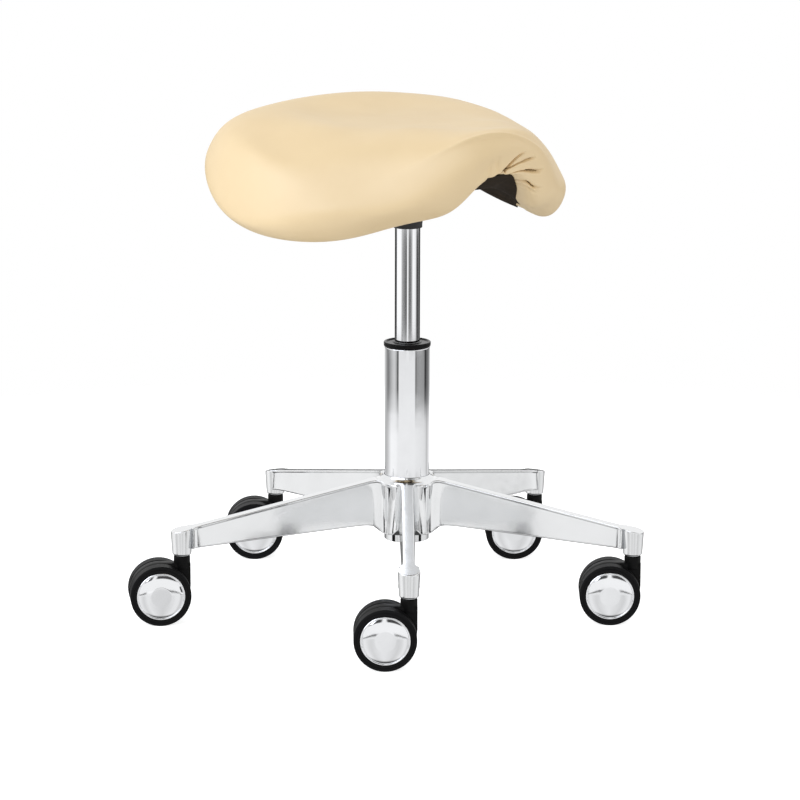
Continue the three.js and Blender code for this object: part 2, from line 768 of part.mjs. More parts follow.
// Rows on the underside, which is flat under the seat plate and curves to the hem beyond it.
const undersideZ = plateTopZ + seatGap;
function underRows() {
  return [...shellRowShares, ...rimRowShares].map((share) =>
    saddleAzimuths.map((azimuth) => {
      const [hemRadius, hemZ] = meridian(mirroredAzimuth(azimuth)).at(-1);
      const bend = Math.max(0, (share - underFlatShare) / (1 - underFlatShare));
      return placed(hemRadius * share, azimuth, undersideZ + (hemZ - undersideZ) * bend ** 2);
    }),
  );
}

// The same rows moved by a distance square to the surface. Positive goes up or outwards.
function offsetRows(rows, distance) {
  const sides = rows[0].length;
  return rows.map((row, k) =>
    row.map((point, i) => {
      if (k === 0) return point.clone().addScaledVector(UP, distance);
      const along = rows[Math.min(k + 1, rows.length - 1)][i].clone().sub(rows[k - 1][i]);
      const across = row[(i + 1) % sides].clone().sub(row[(i + sides - 1) % sides]);
      return point.clone().addScaledVector(along.cross(across).normalize(), distance);
    }),
  );
}

// The first row is a pole: all of its points are one.
function withPole(rows) {
  return [[rows[0][0]], ...rows.slice(1)];
}

// The underside's rows at a height above it, as far out as the shell, the padding or the cloth.
const bareUnderRows = underRows();
const shellRowCount = shellRowShares.length;
const lipRowCount = shellRowCount + 1;
const clothRowCount = shellRowCount + 2;
function underAt(height, count) {
  return withPole(offsetRows(bareUnderRows, height)).slice(0, count);
}

// A skin down the outside through one set of rows and back through another.
function layerOf(outside, inside) {
  return skinOf([...outside, ...inside.reverse()], outside.length);
}

const coverRows = outerRows();
const coverInside = withPole(offsetRows(coverRows, -coverThick));
add(stool, "seat_cover", layerOf(withPole(coverRows), coverInside), leatherette);

const shellLow = clothThick + seatGap;
const shellHigh = shellLow + shellThick;
const foamLow = shellHigh + seatGap;
const foamOuter = withPole(offsetRows(coverRows, -coverThick - seatGap));
const foamLip = underAt(shellLow + seatGap, lipRowCount).at(-1);
add(stool, "seat_foam", layerOf([...foamOuter, foamLip], underAt(foamLow, lipRowCount)), paddingFoam);

const screwTopZ = plateTopZ + screwBite;
const screwHoles = screwPlaces.map(([x, y]) =>
  pin(screwBore, undersideZ - cutOver, screwTopZ + seatGap).translate(x, y, 0),
);
const shellBody = layerOf(underAt(shellHigh, shellRowCount), underAt(shellLow, shellRowCount));
add(stool, "seat_shell", cut(shellBody, ...screwHoles), beechPly);
const clothBody = layerOf(underAt(clothThick, clothRowCount), underAt(0, clothRowCount));
add(stool, "dust_cover", cut(clothBody, ...screwHoles), dustCloth);

// Screws from below, through the plate's flange and the cloth into the shell.
screwPlaces.forEach(([x, y], i) => {
  const headTopZ = plateTopZ - plateThick - seatGap;
  const screw = turned(
    [
      [0, headTopZ - screwHeadHeight],
      [screwHeadRadius, headTopZ - screwHeadHeight],
      [screwHeadRadius, headTopZ],
      [screwRadius, headTopZ],
      [screwRadius, screwTopZ],
      [0, screwTopZ],
    ],
    pinSides,
  );
  add(stool, `seat_screw_${i + 1}`, screw.translate(x, y, 0), zincSteel);
});

// One castor, stem axis on Z, trailing to +X.
const wheelInner = hoodWidth / 2 + wheelSideGap;
const wheelOuter = wheelInner + wheelWidth;

function castorStem() {
  const pinBottomZ = neckTopZ + seatGap - stemPinLength;
  const collarZ = neckTopZ + seatGap;
  const tipZ = socketTopZ - socketRoof - seatGap;
  return turned(
    [
      [0, pinBottomZ],
      [stemPinRadius, pinBottomZ],
      [stemPinRadius, collarZ],
      [stemCollarRadius, collarZ],
      [stemCollarRadius, collarZ + stemCollarHeight],
      [stemRadius, collarZ + stemCollarHeight],
      [stemRadius, tipZ - stemTip],
      [stemRadius - stemTip, tipZ],
      [0, tipZ],
    ],
    pinSides,
  );
}

// Hood: the web between the wheels and the round neck that turns on the stem.
function castorHood() {
  const web = new THREE.Shape();
  web.moveTo(-neckRadius, neckBottomZ + cutOver);
  web.lineTo(-neckRadius, hoodHeelZ);
  web.quadraticCurveTo(-neckRadius, hoodSoleZ, castorOffset - axleBossRadius, hoodSoleZ);
  web.absarc(castorOffset, wheelRadius, axleBossRadius, ...hoodBossArc);
  web.absarc(castorOffset, wheelRadius, hoodRadius, ...hoodRoofArc);
  web.lineTo(neckRadius, neckBottomZ + cutOver);
  const settings = { depth: hoodWidth, bevelEnabled: false, curveSegments: hoodSteps };
  const plate = new THREE.ExtrudeGeometry(web, settings).rotateX(90 * DEG).translate(0, hoodWidth / 2, 0);
  const neck = pin(neckRadius, neckBottomZ, neckTopZ, socketSides);
  const stemHole = pin(boreFor(stemPinRadius), neckTopZ - stemPinLength, neckTopZ + cutOver);
  const axleHole = acrossCastor(pin(axleRadius + seatGap, -hoodWidth, hoodWidth));
  return cut(join(plate, neck), stemHole, axleHole);
}

// Turns a piece made on Z onto the axle, outwards along +Y.
function acrossCastor(geometry) {
  return geometry.rotateX(-90 * DEG).translate(castorOffset, 0, wheelRadius);
}

// The tread's flats lie at the wheel's radius, and one of them is turned to the floor.
function castorWheel() {
  const bore = boreFor(axleRadius, wheelSides);
  const tread = wheelRadius / Math.cos(Math.PI / wheelSides);
  return turnedRing(
    [
      [bore, wheelInner],
      [tread - wheelShoulder, wheelInner],
      [tread, wheelInner + wheelShoulder],
      [tread, wheelOuter - wheelShoulder],
      [tread - wheelShoulder, wheelOuter],
      [capRadius + seatGap, wheelOuter],
      [capRadius + seatGap, wheelOuter - capSeatDepth],
      [bore, wheelOuter - capSeatDepth],
    ],
    wheelSides,
  ).rotateZ(Math.PI / wheelSides);
}

function castorCap() {
  const back = wheelOuter - capSeatDepth + seatGap;
  return turned(
    [
      [0, back],
      [capRadius, back],
      [capRadius, wheelOuter],
      [capRadius - capEdge, wheelOuter + capDome / 3],
      [capRadius / 2, wheelOuter + capDome * capDomeShare],
      [0, wheelOuter + capDome],
    ],
    wheelSides,
  ).rotateZ(Math.PI / wheelSides);
}

for (let k = 0; k < armCount; k += 1) {
  const turn = firstArmHeading + (k / armCount) * 360 * DEG;
  const castor = new THREE.Group();
  castor.position.set(armRadius * Math.cos(turn), armRadius * Math.sin(turn), 0);
  castor.rotation.z = castorHeadings[k];
  const name = `castor_${k + 1}`;
  add(castor, `${name}_stem`, castorStem(), zincSteel);
  add(castor, `${name}_hood`, castorHood(), blackNylon);
  const axleEnd = wheelOuter - capSeatDepth;
  add(castor, `${name}_axle`, acrossCastor(pin(axleRadius, -axleEnd, axleEnd)), zincSteel);
  for (const [side, turnOver] of [
    ["left", 0],
    ["right", 180 * DEG],
  ]) {
    const wheel = acrossCastor(castorWheel().rotateX(turnOver));
    const cap = acrossCastor(castorCap().rotateX(turnOver));
    add(castor, `${name}_wheel_${side}`, wheel, wheelNylon);
    add(castor, `${name}_cap_${side}`, cap, chromedSteel);
  }
  stool.add(castor);
}

// The middle of the footprint comes over the origin.
const footprint = new THREE.Box3().setFromObject(stool, true);
const middle = footprint.getCenter(new THREE.Vector3());
stool.position.set(-middle.x, -middle.y, -footprint.min.z);

export default stool;
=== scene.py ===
"""A saddle stool: cream saddle seat, gas lift, polished star base and five twin-wheel castors.

Lengths are millimetres in the sums and metres in the meshes. +Z is up, the sitter faces -Y.
"""

import json
import math

import bpy
import numpy as np
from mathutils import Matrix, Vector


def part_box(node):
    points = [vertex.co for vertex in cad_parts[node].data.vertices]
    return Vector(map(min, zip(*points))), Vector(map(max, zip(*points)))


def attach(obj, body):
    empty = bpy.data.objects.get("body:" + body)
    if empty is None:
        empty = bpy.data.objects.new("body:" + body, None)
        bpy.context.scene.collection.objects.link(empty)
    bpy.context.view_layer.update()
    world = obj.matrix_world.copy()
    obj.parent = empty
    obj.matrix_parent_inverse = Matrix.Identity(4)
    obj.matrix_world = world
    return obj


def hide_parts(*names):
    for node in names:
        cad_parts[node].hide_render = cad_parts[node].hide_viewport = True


bl_info = {
    "name": "Saddle stool",
    "version": (1, 0, 0),
    "blender": (4, 5, 0),
    "location": "View3D > Sidebar > Stool",
    "description": "Builds a wheeled saddle stool around its packed frame",
    "category": "Add Mesh",
}

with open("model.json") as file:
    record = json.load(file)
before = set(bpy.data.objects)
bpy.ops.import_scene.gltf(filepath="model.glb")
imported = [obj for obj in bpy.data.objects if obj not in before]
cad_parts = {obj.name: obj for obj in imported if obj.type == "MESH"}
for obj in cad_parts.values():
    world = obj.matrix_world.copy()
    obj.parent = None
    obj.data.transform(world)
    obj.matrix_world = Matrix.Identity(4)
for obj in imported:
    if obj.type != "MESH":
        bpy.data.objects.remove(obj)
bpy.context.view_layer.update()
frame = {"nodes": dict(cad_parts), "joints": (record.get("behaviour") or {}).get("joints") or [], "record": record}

MM = 0.001
TURN = 2 * math.pi
DEG = math.pi / 180


def node_box(name):
    """Lowest and highest corner of a frame node, in millimetres."""
    low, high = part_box(name)
    return np.array(low) / MM, np.array(high) / MM


COLUMN_LOW, COLUMN_HIGH = node_box("column_tube")
AXIS = (COLUMN_LOW + COLUMN_HIGH) / 2
AXIS[2] = 0

ARMS = 5
CAMERA_HEADING = -127.2 * DEG  # from the column to the camera


def joint_place(name):
    """Place in millimetres and axis of a joint in the record."""
    joint = next(j for j in frame["joints"] if j["name"] == name)
    return np.array(joint["pos_m"]) / MM, np.array(joint["axis"], float)


FIRST_TIP = joint_place("castor_1_swivel")[0] - AXIS
FIRST_ARM = math.atan2(FIRST_TIP[1], FIRST_TIP[0])
ARM_REACH = math.hypot(FIRST_TIP[0], FIRST_TIP[1])


def linear(hex_colour):
    """An sRGB hex colour as linear RGB: below 0.04045 divided by 12.92, above it a power of 2.4."""
    srgb = np.array([int(hex_colour[i : i + 2], 16) for i in (1, 3, 5)]) / 255
    low = srgb / 12.92
    high = ((srgb + 0.055) / 1.055) ** 2.4
    return tuple(float(c) for c in np.where(srgb <= 0.04045, low, high))


class Shell:
    """Points in millimetres with four-sided and three-sided faces."""

    def __init__(self, points, quads=(), tris=()):
        self.points = np.asarray(points, float).reshape(-1, 3)
        self.quads = np.asarray(quads, int).reshape(-1, 4)
        self.tris = np.asarray(tris, int).reshape(-1, 3)

    def outward(self):
        """Six times the volume is the sum of a . (b x c) over the triangles; below 0 all faces turn."""
        tris = np.vstack([self.tris, self.quads[:, [0, 1, 2]], self.quads[:, [0, 2, 3]]])
        a, b, c = (self.points[tris[:, i]] for i in range(3))
        if np.sum(a * np.cross(b, c)) < 0:
            self.quads = self.quads[:, ::-1]
            self.tris = self.tris[:, ::-1]
        return self

    def moved(self, origin, axes=np.eye(3)):
        """p becomes origin + p . axes, where the rows of axes are the shell's own X, Y and Z."""
        self.points = np.asarray(origin, float) + self.points @ np.asarray(axes, float)
        return self


def closed(grid, start=None, end=None, ring=False):
    """A shell from a grid of points, rows by columns, that closes round its columns.

    start and end are the poles beyond the first and last row. With ring, the rows close too.
    """
    rows, columns = grid.shape[:2]
    index = np.arange(rows * columns).reshape(rows, columns)
    beyond = np.roll(index, -1, axis=1)
    low, high = (index, np.roll(index, -1, axis=0)) if ring else (index[:-1], index[1:])
    low_beyond = np.roll(low, -1, axis=1)
    high_beyond = np.roll(high, -1, axis=1)
    quads = np.stack([low, low_beyond, high_beyond, high], axis=-1).reshape(-1, 4)
    points = grid.reshape(-1, 3)
    tris = []
    for pole, row, turned_over in ((start, 0, False), (end, -1, True)):
        if pole is None:
            continue
        tip = np.full(columns, len(points))
        points = np.vstack([points, np.asarray(pole, float).reshape(1, 3)])
        a, b = (beyond[row], index[row]) if not turned_over else (index[row], beyond[row])
        tris.append(np.stack([tip, a, b], axis=-1))
    return Shell(points, quads, np.vstack(tris) if tris else ()).outward()


def rounded(corners, radii, steps=5, ring=False):
    """A polyline with its corners rounded: between the points where a circle of the corner's radius
    would touch the two sides, the curve is (1-t)^2 a + 2t(1-t) corner + t^2 b. One more point stands on
    each side just beyond the rounding, so that the straight walls shade flat."""
    corners = np.asarray(corners, float)
    radii = np.broadcast_to(np.asarray(radii, float), len(corners)).copy()
    before = np.roll(corners, 1, axis=0) - corners
    after = np.roll(corners, -1, axis=0) - corners
    reach_before = np.linalg.norm(before, axis=1)
    reach_after = np.linalg.norm(after, axis=1)
    before /= reach_before[:, None]
    after /= reach_after[:, None]
    half = np.arccos(np.clip(np.sum(before * after, axis=1), -1, 1)) / 2
    cut = radii / np.maximum(np.tan(half), 1e-6)
    cut = np.minimum(cut, 0.45 * np.minimum(reach_before, reach_after))
    if not ring:
        cut[[0, -1]] = 0
    room_before = reach_before - cut - np.roll(cut, 1)
    room_after = reach_after - cut - np.roll(cut, -1)
    t = np.linspace(0, 1, steps)[None, :, None]
    a = (corners + before * cut[:, None])[:, None]
    b = (corners + after * cut[:, None])[:, None]
    curve = (1 - t) ** 2 * a + 2 * t * (1 - t) * corners[:, None] + t**2 * b
    near = corners + before * (cut + np.minimum(0.35 * cut, 0.3 * room_before))[:, None]
    far = corners + after * (cut + np.minimum(0.35 * cut, 0.3 * room_after))[:, None]
    curve = np.concatenate([near[:, None], curve, far[:, None]], axis=1)
    keep = np.ones(curve.shape[:2], bool)
    keep[cut < 1e-9, 1:] = False
    return curve[keep]


def turned(profile, steps=96, ring=False):
    """A profile of (radius, height) carried round Z: x = r cos a, y = r sin a, z = h."""
    profile = np.asarray(profile, float)
    angle = np.arange(steps) / steps * TURN
    radius = profile[:, :1]
    grid = np.stack(
        [radius * np.cos(angle), radius * np.sin(angle), np.repeat(profile[:, 1:], steps, axis=1)], axis=-1
    )
    start = end = None
    if not ring and profile[0, 0] < 1e-6:
        start, grid = (0, 0, profile[0, 1]), grid[1:]
    if not ring and profile[-1, 0] < 1e-6:
        end, grid = (0, 0, profile[-1, 1]), grid[:-1]
    return closed(grid, start, end, ring)


def swept(path, section, up=(0, 0, 1)):
    """A section of (across, over) points carried along a path, square to the path's direction.

    Across is the direction of the path crossed with up, and over is across crossed with the direction.
    """
    path = np.asarray(path, float)
    along = np.gradient(path, axis=0)
    along /= np.linalg.norm(along, axis=1, keepdims=True)
    across = np.cross(along, np.asarray(up, float))
    across /= np.linalg.norm(across, axis=1, keepdims=True)
    over = np.cross(across, along)
    section = np.asarray(section, float)
    if section.ndim == 2:
        section = np.broadcast_to(section, (len(path),) + section.shape)
    grid = path[:, None] + section[..., :1] * across[:, None] + section[..., 1:] * over[:, None]
    return closed(grid, grid[0].mean(axis=0), grid[-1].mean(axis=0))


def circle(radius, steps):
    """Points of a circle: (r cos a, r sin a)."""
    angle = np.arange(steps) / steps * TURN
    return radius * np.stack([np.cos(angle), np.sin(angle)], axis=-1)


def heading_axes(angle):
    """Axes of a frame turned about Z: X points along the heading."""
    c, s = math.cos(angle), math.sin(angle)
    return np.array([[c, s, 0], [-s, c, 0], [0, 0, 1]])


def piece(name, shells, material, body, replaced=(), crease=32):
    """One object from its shells, in its material, riding on a body in place of frame nodes."""
    shells = shells if isinstance(shells, list) else [shells]
    counts = np.cumsum([0] + [len(s.points) for s in shells])
    points = np.vstack([s.points for s in shells]) * MM
    faces = []
    for shell, first in zip(shells, counts):
        faces += (shell.quads + first).tolist() + (shell.tris + first).tolist()
    mesh = bpy.data.meshes.new(name)
    mesh.from_pydata(points.tolist(), [], faces)
    mesh.update()
    mesh.shade_smooth()
    mesh.set_sharp_from_angle(angle=crease * DEG)
    mesh.materials.append(material)
    made = bpy.data.objects.new(name, mesh)
    bpy.context.scene.collection.objects.link(made)
    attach(made, body)
    if replaced:
        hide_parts(*replaced)
    return made


def node(tree, kind, settings=None, **links):
    """Adds a node; settings go to its properties or sockets, links join its sockets to outputs. The
    setting "stops" holds a ramp's positions, each with a linear colour or a grey."""
    made = tree.nodes.new(kind)
    for key, value in (settings or {}).items():
        if key == "stops":
            elements = made.color_ramp.elements
            elements.remove(elements[-1])
            elements[0].position = value[0][0]
            for k, (position, colour) in enumerate(value):
                element = elements.new(position) if k else elements[0]
                element.color = (*np.broadcast_to(colour, 3).tolist(), 1)
        elif isinstance(key, str) and hasattr(made, key) and key not in made.inputs:
            setattr(made, key, value)
        else:
            made.inputs[key].default_value = value
    for key, output in links.items():
        socket = int(key[1:]) if key[0] == "i" and key[1:].isdigit() else key.replace("_", " ")
        tree.links.new(output, made.inputs[socket])
    return made


def new_material(name):
    """An empty node material with its shader and its Object coordinates."""
    made = bpy.data.materials.new(name)
    made.use_nodes = True
    tree = made.node_tree
    tree.nodes.clear()
    out = tree.nodes.new("ShaderNodeOutputMaterial")
    shader = tree.nodes.new("ShaderNodeBsdfPrincipled")
    tree.links.new(shader.outputs[0], out.inputs[0])
    place = tree.nodes.new("ShaderNodeTexCoord").outputs["Object"]
    return made, tree, shader, place


def shades(hex_colour, low, high=1.0):
    """A colour times a lower and a higher factor."""
    return [tuple(factor * c for c in linear(hex_colour)) for factor in (low, high)]


def noise_finish(
    name, noise, tones, span=(0.3, 0.7), stretch=None, rough=None, relief=None, relief_noise=None,
    values=None,
):
    """A finish whose tone, roughness and relief follow one noise over the piece. span is where the two
    tones lie on the noise; relief is the strength of its bumps and their height in metres."""
    made, tree, shader, place = new_material(name)
    if stretch:
        place = node(tree, "ShaderNodeMapping", {"Scale": stretch}, Vector=place).outputs[0]
    cloud = node(tree, "ShaderNodeTexNoise", noise, Vector=place).outputs["Fac"]
    tint = node(tree, "ShaderNodeValToRGB", {"stops": list(zip(span, tones))}, Fac=cloud)
    tree.links.new(tint.outputs["Color"], shader.inputs["Base Color"])
    if rough:
        spread = node(tree, "ShaderNodeMapRange", {"To Min": rough[0], "To Max": rough[1]}, Value=cloud)
        tree.links.new(spread.outputs[0], shader.inputs["Roughness"])
    if relief:
        height = cloud
        if relief_noise:
            height = node(tree, "ShaderNodeTexNoise", relief_noise, Vector=place).outputs["Fac"]
        bump = node(tree, "ShaderNodeBump", {"Strength": relief[0], "Distance": relief[1]}, Height=height)
        tree.links.new(bump.outputs[0], shader.inputs["Normal"])
    for key, value in (values or {}).items():
        shader.inputs[key].default_value = value
    return made


def leatherette(name, pale, shade):
    """PU leatherette on a knit: calendered and embossed. A soft satin sheen over a fine pebble grain of
    about 1.2 mm, which is drawn a little coarser than the real 0.8 mm so that it shows."""
    made, tree, shader, place = new_material(name)
    mottle = node(
        tree, "ShaderNodeTexNoise", {"Scale": 14.0, "Detail": 4.0, "Roughness": 0.55}, Vector=place
    )
    tint = node(
        tree, "ShaderNodeValToRGB", {"stops": [(0.3, linear(shade)), (0.7, linear(pale))]},
        Fac=mottle.outputs["Fac"],
    )
    pebble = node(tree, "ShaderNodeTexVoronoi", {"Scale": 820.0, "Randomness": 0.9}, Vector=place)
    soft = node(tree, "ShaderNodeTexNoise", {"Scale": 60.0, "Detail": 3.0}, Vector=place).outputs["Fac"]
    grain = node(
        tree, "ShaderNodeBump", {"Strength": 0.1, "Distance": 0.0003}, Height=pebble.outputs["Distance"]
    )
    both = node(
        tree, "ShaderNodeBump", {"Strength": 0.08, "Distance": 0.0015}, Height=soft, Normal=grain.outputs[0]
    )
    rough = node(tree, "ShaderNodeMapRange", {"To Min": 0.44, "To Max": 0.54}, Value=soft)
    for made_node, socket in ((tint, "Base Color"), (both, "Normal"), (rough, "Roughness")):
        tree.links.new(made_node.outputs[0], shader.inputs[socket])
    shader.inputs["IOR"].default_value = 1.5
    shader.inputs["Specular IOR Level"].default_value = 1.0
    return made


def dust_cloth_material(settings):
    """Dark spunbonded cloth under the seat: a plain weave look with a 1.6 mm repeat and loose fibres."""
    made, tree, shader, place = new_material("woven_dust_cloth")
    waves = [
        node(
            tree, "ShaderNodeTexWave",
            {"bands_direction": direction, "Scale": 200.0, "Distortion": 0.6, "Detail": 1.0}, Vector=place,
        ).outputs["Fac"]
        for direction in ("X", "Y")
    ]
    weave = node(tree, "ShaderNodeMath", {"operation": "MULTIPLY"}, i0=waves[0], i1=waves[1])
    fuzz = node(tree, "ShaderNodeTexNoise", {"Scale": 90.0, "Detail": 6.0}, Vector=place)
    mixed = node(tree, "ShaderNodeMath", {"operation": "ADD"}, i0=weave.outputs[0], i1=fuzz.outputs["Fac"])
    half = node(tree, "ShaderNodeMath", {"operation": "MULTIPLY", 1: 0.5}, i0=mixed.outputs[0])
    threads = [(0.2, linear(settings.dust_cloth_shade)), (0.8, linear(settings.dust_cloth))]
    tint = node(tree, "ShaderNodeValToRGB", {"stops": threads}, Fac=half.outputs[0])
    tree.links.new(tint.outputs["Color"], shader.inputs["Base Color"])
    bump = node(tree, "ShaderNodeBump", {"Strength": 0.5, "Distance": 0.0004}, Height=half.outputs[0])
    tree.links.new(bump.outputs[0], shader.inputs["Normal"])
    shader.inputs["Roughness"].default_value = 0.85
    shader.inputs["Specular IOR Level"].default_value = 0.2
    return made


def polished_metal(name, hex_colour, rough, wave_scale, wave_depth):
    """A polished metal: mirror-like, with the slight unevenness that buffing leaves and a few dull spots."""
    return noise_finish(
        name, {"Scale": 30.0, "Detail": 5.0, "Roughness": 0.6}, shades(hex_colour, 0.93), (0.25, 0.75),
        rough=rough, relief=(1.0, wave_depth), relief_noise={"Scale": wave_scale, "Detail": 1.0},
        values={"Metallic": 1.0},
    )


def ground_steel(settings):
    """Hard-chromed, centreless-ground steel of the lift cylinder: bright, with a fine lengthwise blur."""
    return noise_finish(
        "ground_chromed_steel", {"Scale": 1.0, "Detail": 2.0}, shades(settings.steel, 0.95),
        stretch=(900.0, 900.0, 25.0), rough=(0.03, 0.07), values={"Metallic": 1.0},
    )


def moulded_plastic(name, hex_colour, roughness, grain):
    """Moulded black plastic: the fine spark-eroded texture of its mould, a shade lighter on the peaks."""
    return noise_finish(
        name, {"Scale": 700.0, "Detail": 3.0}, shades(hex_colour, 0.75, 1.2),
        rough=(roughness - 0.05, roughness + 0.07), relief=(grain, 0.0002),
        values={"IOR": 1.5, "Specular IOR Level": 0.1},
    )


def beech_plywood(settings):
    """Moulded beech plywood, sanded: long rings stretched along Y with short dark flecks."""
    return noise_finish(
        "moulded_beech_ply", {"Scale": 1.0, "Detail": 6.0},
        (linear(settings.beech_shade), linear(settings.beech)), stretch=(40.0, 4.0, 220.0),
        values={"Roughness": 0.6},
    )


def powder_coat(settings):
    """Black powder coat on pressed steel: satin, with the slight orange peel of baked powder."""
    return noise_finish(
        "black_powder_coat", {"Scale": 260.0, "Detail": 2.0}, shades(settings.black_paint, 0.85),
        relief=(0.25, 0.0002), values={"Roughness": 0.42},
    )


def zinc_plate(settings):
    """Zinc-plated steel: greyish and dull, with cloudy spots from the plating bath."""
    return noise_finish(
        "zinc_plated_steel", {"Scale": 160.0, "Detail": 4.0}, shades(settings.zinc, 0.75),
        rough=(0.3, 0.42), values={"Metallic": 1.0},
    )


MATERIALS = {}


def material(name):
    """A finish of the stool, made once."""
    if name not in MATERIALS:
        seat = bpy.context.scene.stool_seat
        metal = bpy.context.scene.stool_metal
        makers = {
            "leatherette": lambda: leatherette(
                "embossed_leatherette", seat.leatherette, seat.leatherette_shade
            ),
            # Painted shade: a darker copy of the leatherette for the deepest faces of the gathers.
            "fold_painted_shade": lambda: leatherette("leatherette_painted_fold_shade", seat.fold_painted_shade, seat.fold_painted_shade),
            "dust_cloth": lambda: dust_cloth_material(seat),
            "beech": lambda: beech_plywood(seat),
            "aluminium": lambda: polished_metal(
                "polished_cast_aluminium", metal.aluminium, (0.1, 0.17), 60.0, 0.0001
            ),
            # Painted shade: a near-black non-metal for the hub's groove bottoms, slits and notches, in place of
            # their shadow and dark reflections.
            "groove_painted_shade": lambda: moulded_plastic("groove_painted_shade_black", metal.groove_painted_shade, 0.5, 0.4),
            "chrome": lambda: polished_metal("bright_chrome", metal.chrome, (0.02, 0.04), 40.0, 0.00003),
            "cap_chrome": lambda: polished_metal(
                "chromed_plastic", metal.chrome, (0.05, 0.1), 50.0, 0.00004
            ),
            "ground_steel": lambda: ground_steel(metal),
            "zinc": lambda: zinc_plate(metal),
            "paint": lambda: powder_coat(metal),
            "nylon": lambda: moulded_plastic("moulded_nylon", metal.nylon, 0.42, 0.3),
            "tread": lambda: moulded_plastic("moulded_wheel_nylon", metal.tread, 0.48, 0.35),
            "ring": lambda: moulded_plastic("moulded_gloss_nylon", metal.nylon, 0.16, 0.1),
            "rubber": lambda: moulded_plastic("moulded_rubber", metal.rubber, 0.75, 0.4),
        }
        MATERIALS[name] = makers[name]()
    return MATERIALS[name]


FLAP_BOTTOM = 427.2
SADDLE_DEPTH = 120.0
HALF_WIDTH = 200.0
TOP_CENTRE = 0.99
RING_SHARES = (0.35, 0.6, 0.8, 0.93)
OUTLINE = (0.91, 0.855, 0.88, 1, 1.095, 1.1, 0.99)
HEIGHTS = (
    (0.99, 0.99, 0.99, 0.99, 1, 1.005, 1.005),
    (1, 1.01, 0.965, 0.99, 1.045, 1.105, 1.135),
    (1.03, 0.94, 0.83, 0.81, 0.975, 1.025, 1.04),
    (1.03, 0.81, 0.55, 0.65, 0.825, 0.885, 0.905),
)
OUTER = (0.875, 0.5, 0.33, 0.2, 0.42, 0.70, 0.735)
LOWEST = (0.185, 0.205, 0.06, 0.01, 0.18, 0.515, 0.56)
GULLET_RISE = 0.475
GULLET_HALF_ANGLE = 15 * DEG
RIM_ROLL = 22.0
RIM_RISE = 0.6  # the rim's turn above its lowest point, as a share of its roll
RIM_INSET = 0.3
GULLET_INSET = 3  # in the arch, which has no roll
GULLET_HEM = 8
UNDERSIDE_FLAT = 0.6  # the underside is flat this far out
FRONT_CROWDING = 0.55
UNDERSIDE = 480.2


def around(shares, azimuth):
    """A cosine series through values at equal steps from front to rear, level at both ends."""
    shares = np.asarray(shares, float)
    k = np.arange(len(shares))
    ends = np.where((k == 0) | (k == len(shares) - 1), 0.5, 1)
    waves = np.cos(math.pi * np.outer(k, k) / (len(shares) - 1)) @ (ends * shares)
    series = 2 / (len(shares) - 1) * ends * waves
    return np.cos(np.multiply.outer(azimuth, k)) @ series


def meridians(azimuth):
    """Nine points (radius, z) from the top centre to the hem at each azimuth; 0 is the seat's front."""
    folded = np.abs((azimuth + math.pi) % TURN - math.pi)
    radius = HALF_WIDTH * around(OUTLINE, folded)
    bell = 1 / (1 + (folded / GULLET_HALF_ANGLE) ** 4)
    height = lambda share: FLAP_BOTTOM + SADDLE_DEPTH * share
    outer = height(around(OUTER, folded))
    lowest = height(around(LOWEST, folded) + GULLET_RISE * bell)
    turn = RIM_RISE * RIM_ROLL * (1 - bell) + (outer - lowest) / 2 * bell
    one = np.ones_like(radius)
    points = [(0 * one, height(TOP_CENTRE) * one)]
    points += [
        (share * radius, height(around(table, folded))) for share, table in zip(RING_SHARES, HEIGHTS)
    ]
    points += [
        (radius, outer),
        (radius - RIM_INSET * RIM_ROLL, lowest + turn),
        (radius - RIM_ROLL * (1 - bell) - GULLET_INSET * bell, lowest),
        (radius - 2 * RIM_ROLL * (1 - bell) - GULLET_HEM * bell, lowest + GULLET_HEM * (1 - bell)),
    ]
    return np.array([np.stack(p, axis=-1) for p in points])


def along_meridian(points, place):
    """Catmull-Rom curve through the meridian points, at places counted in points."""
    first = points[1] * np.array([-1, 1])
    last = 2 * points[-1] - points[-2]
    padded = np.concatenate([first[None], points, last[None]])
    i = np.minimum(place.astype(int), len(points) - 2)
    s = (place - i)[:, None, None]
    a, b, c, d = (padded[i + k] for k in range(4))
    return (
        b + s * (c - a) / 2 + s**2 * (a - 2.5 * b + 2 * c - d / 2) + s**3 * (3 * b - a - 3 * c + d) / 2
    )


def saddle_azimuths(columns):
    """Azimuths that crowd towards the front: even - crowding sin(even)."""
    even = np.arange(columns) / columns * TURN
    return even - FRONT_CROWDING * np.sin(even)


def in_room(radius, azimuth, z):
    """Azimuth 0 points to -Y and +X is the seat's left: x = r sin a, y = -r cos a."""
    return np.stack([radius * np.sin(azimuth), -radius * np.cos(azimuth), z + 0 * radius], axis=-1)


def surface_normals(grid):
    """Unit cross product of the differences along and across a grid that closes round its columns."""
    down = np.gradient(grid, axis=0)
    across = np.roll(grid, -1, axis=1) - np.roll(grid, 1, axis=1)
    normal = np.cross(down, across)
    normal /= np.maximum(np.linalg.norm(normal, axis=-1, keepdims=True), 1e-9)
    return normal


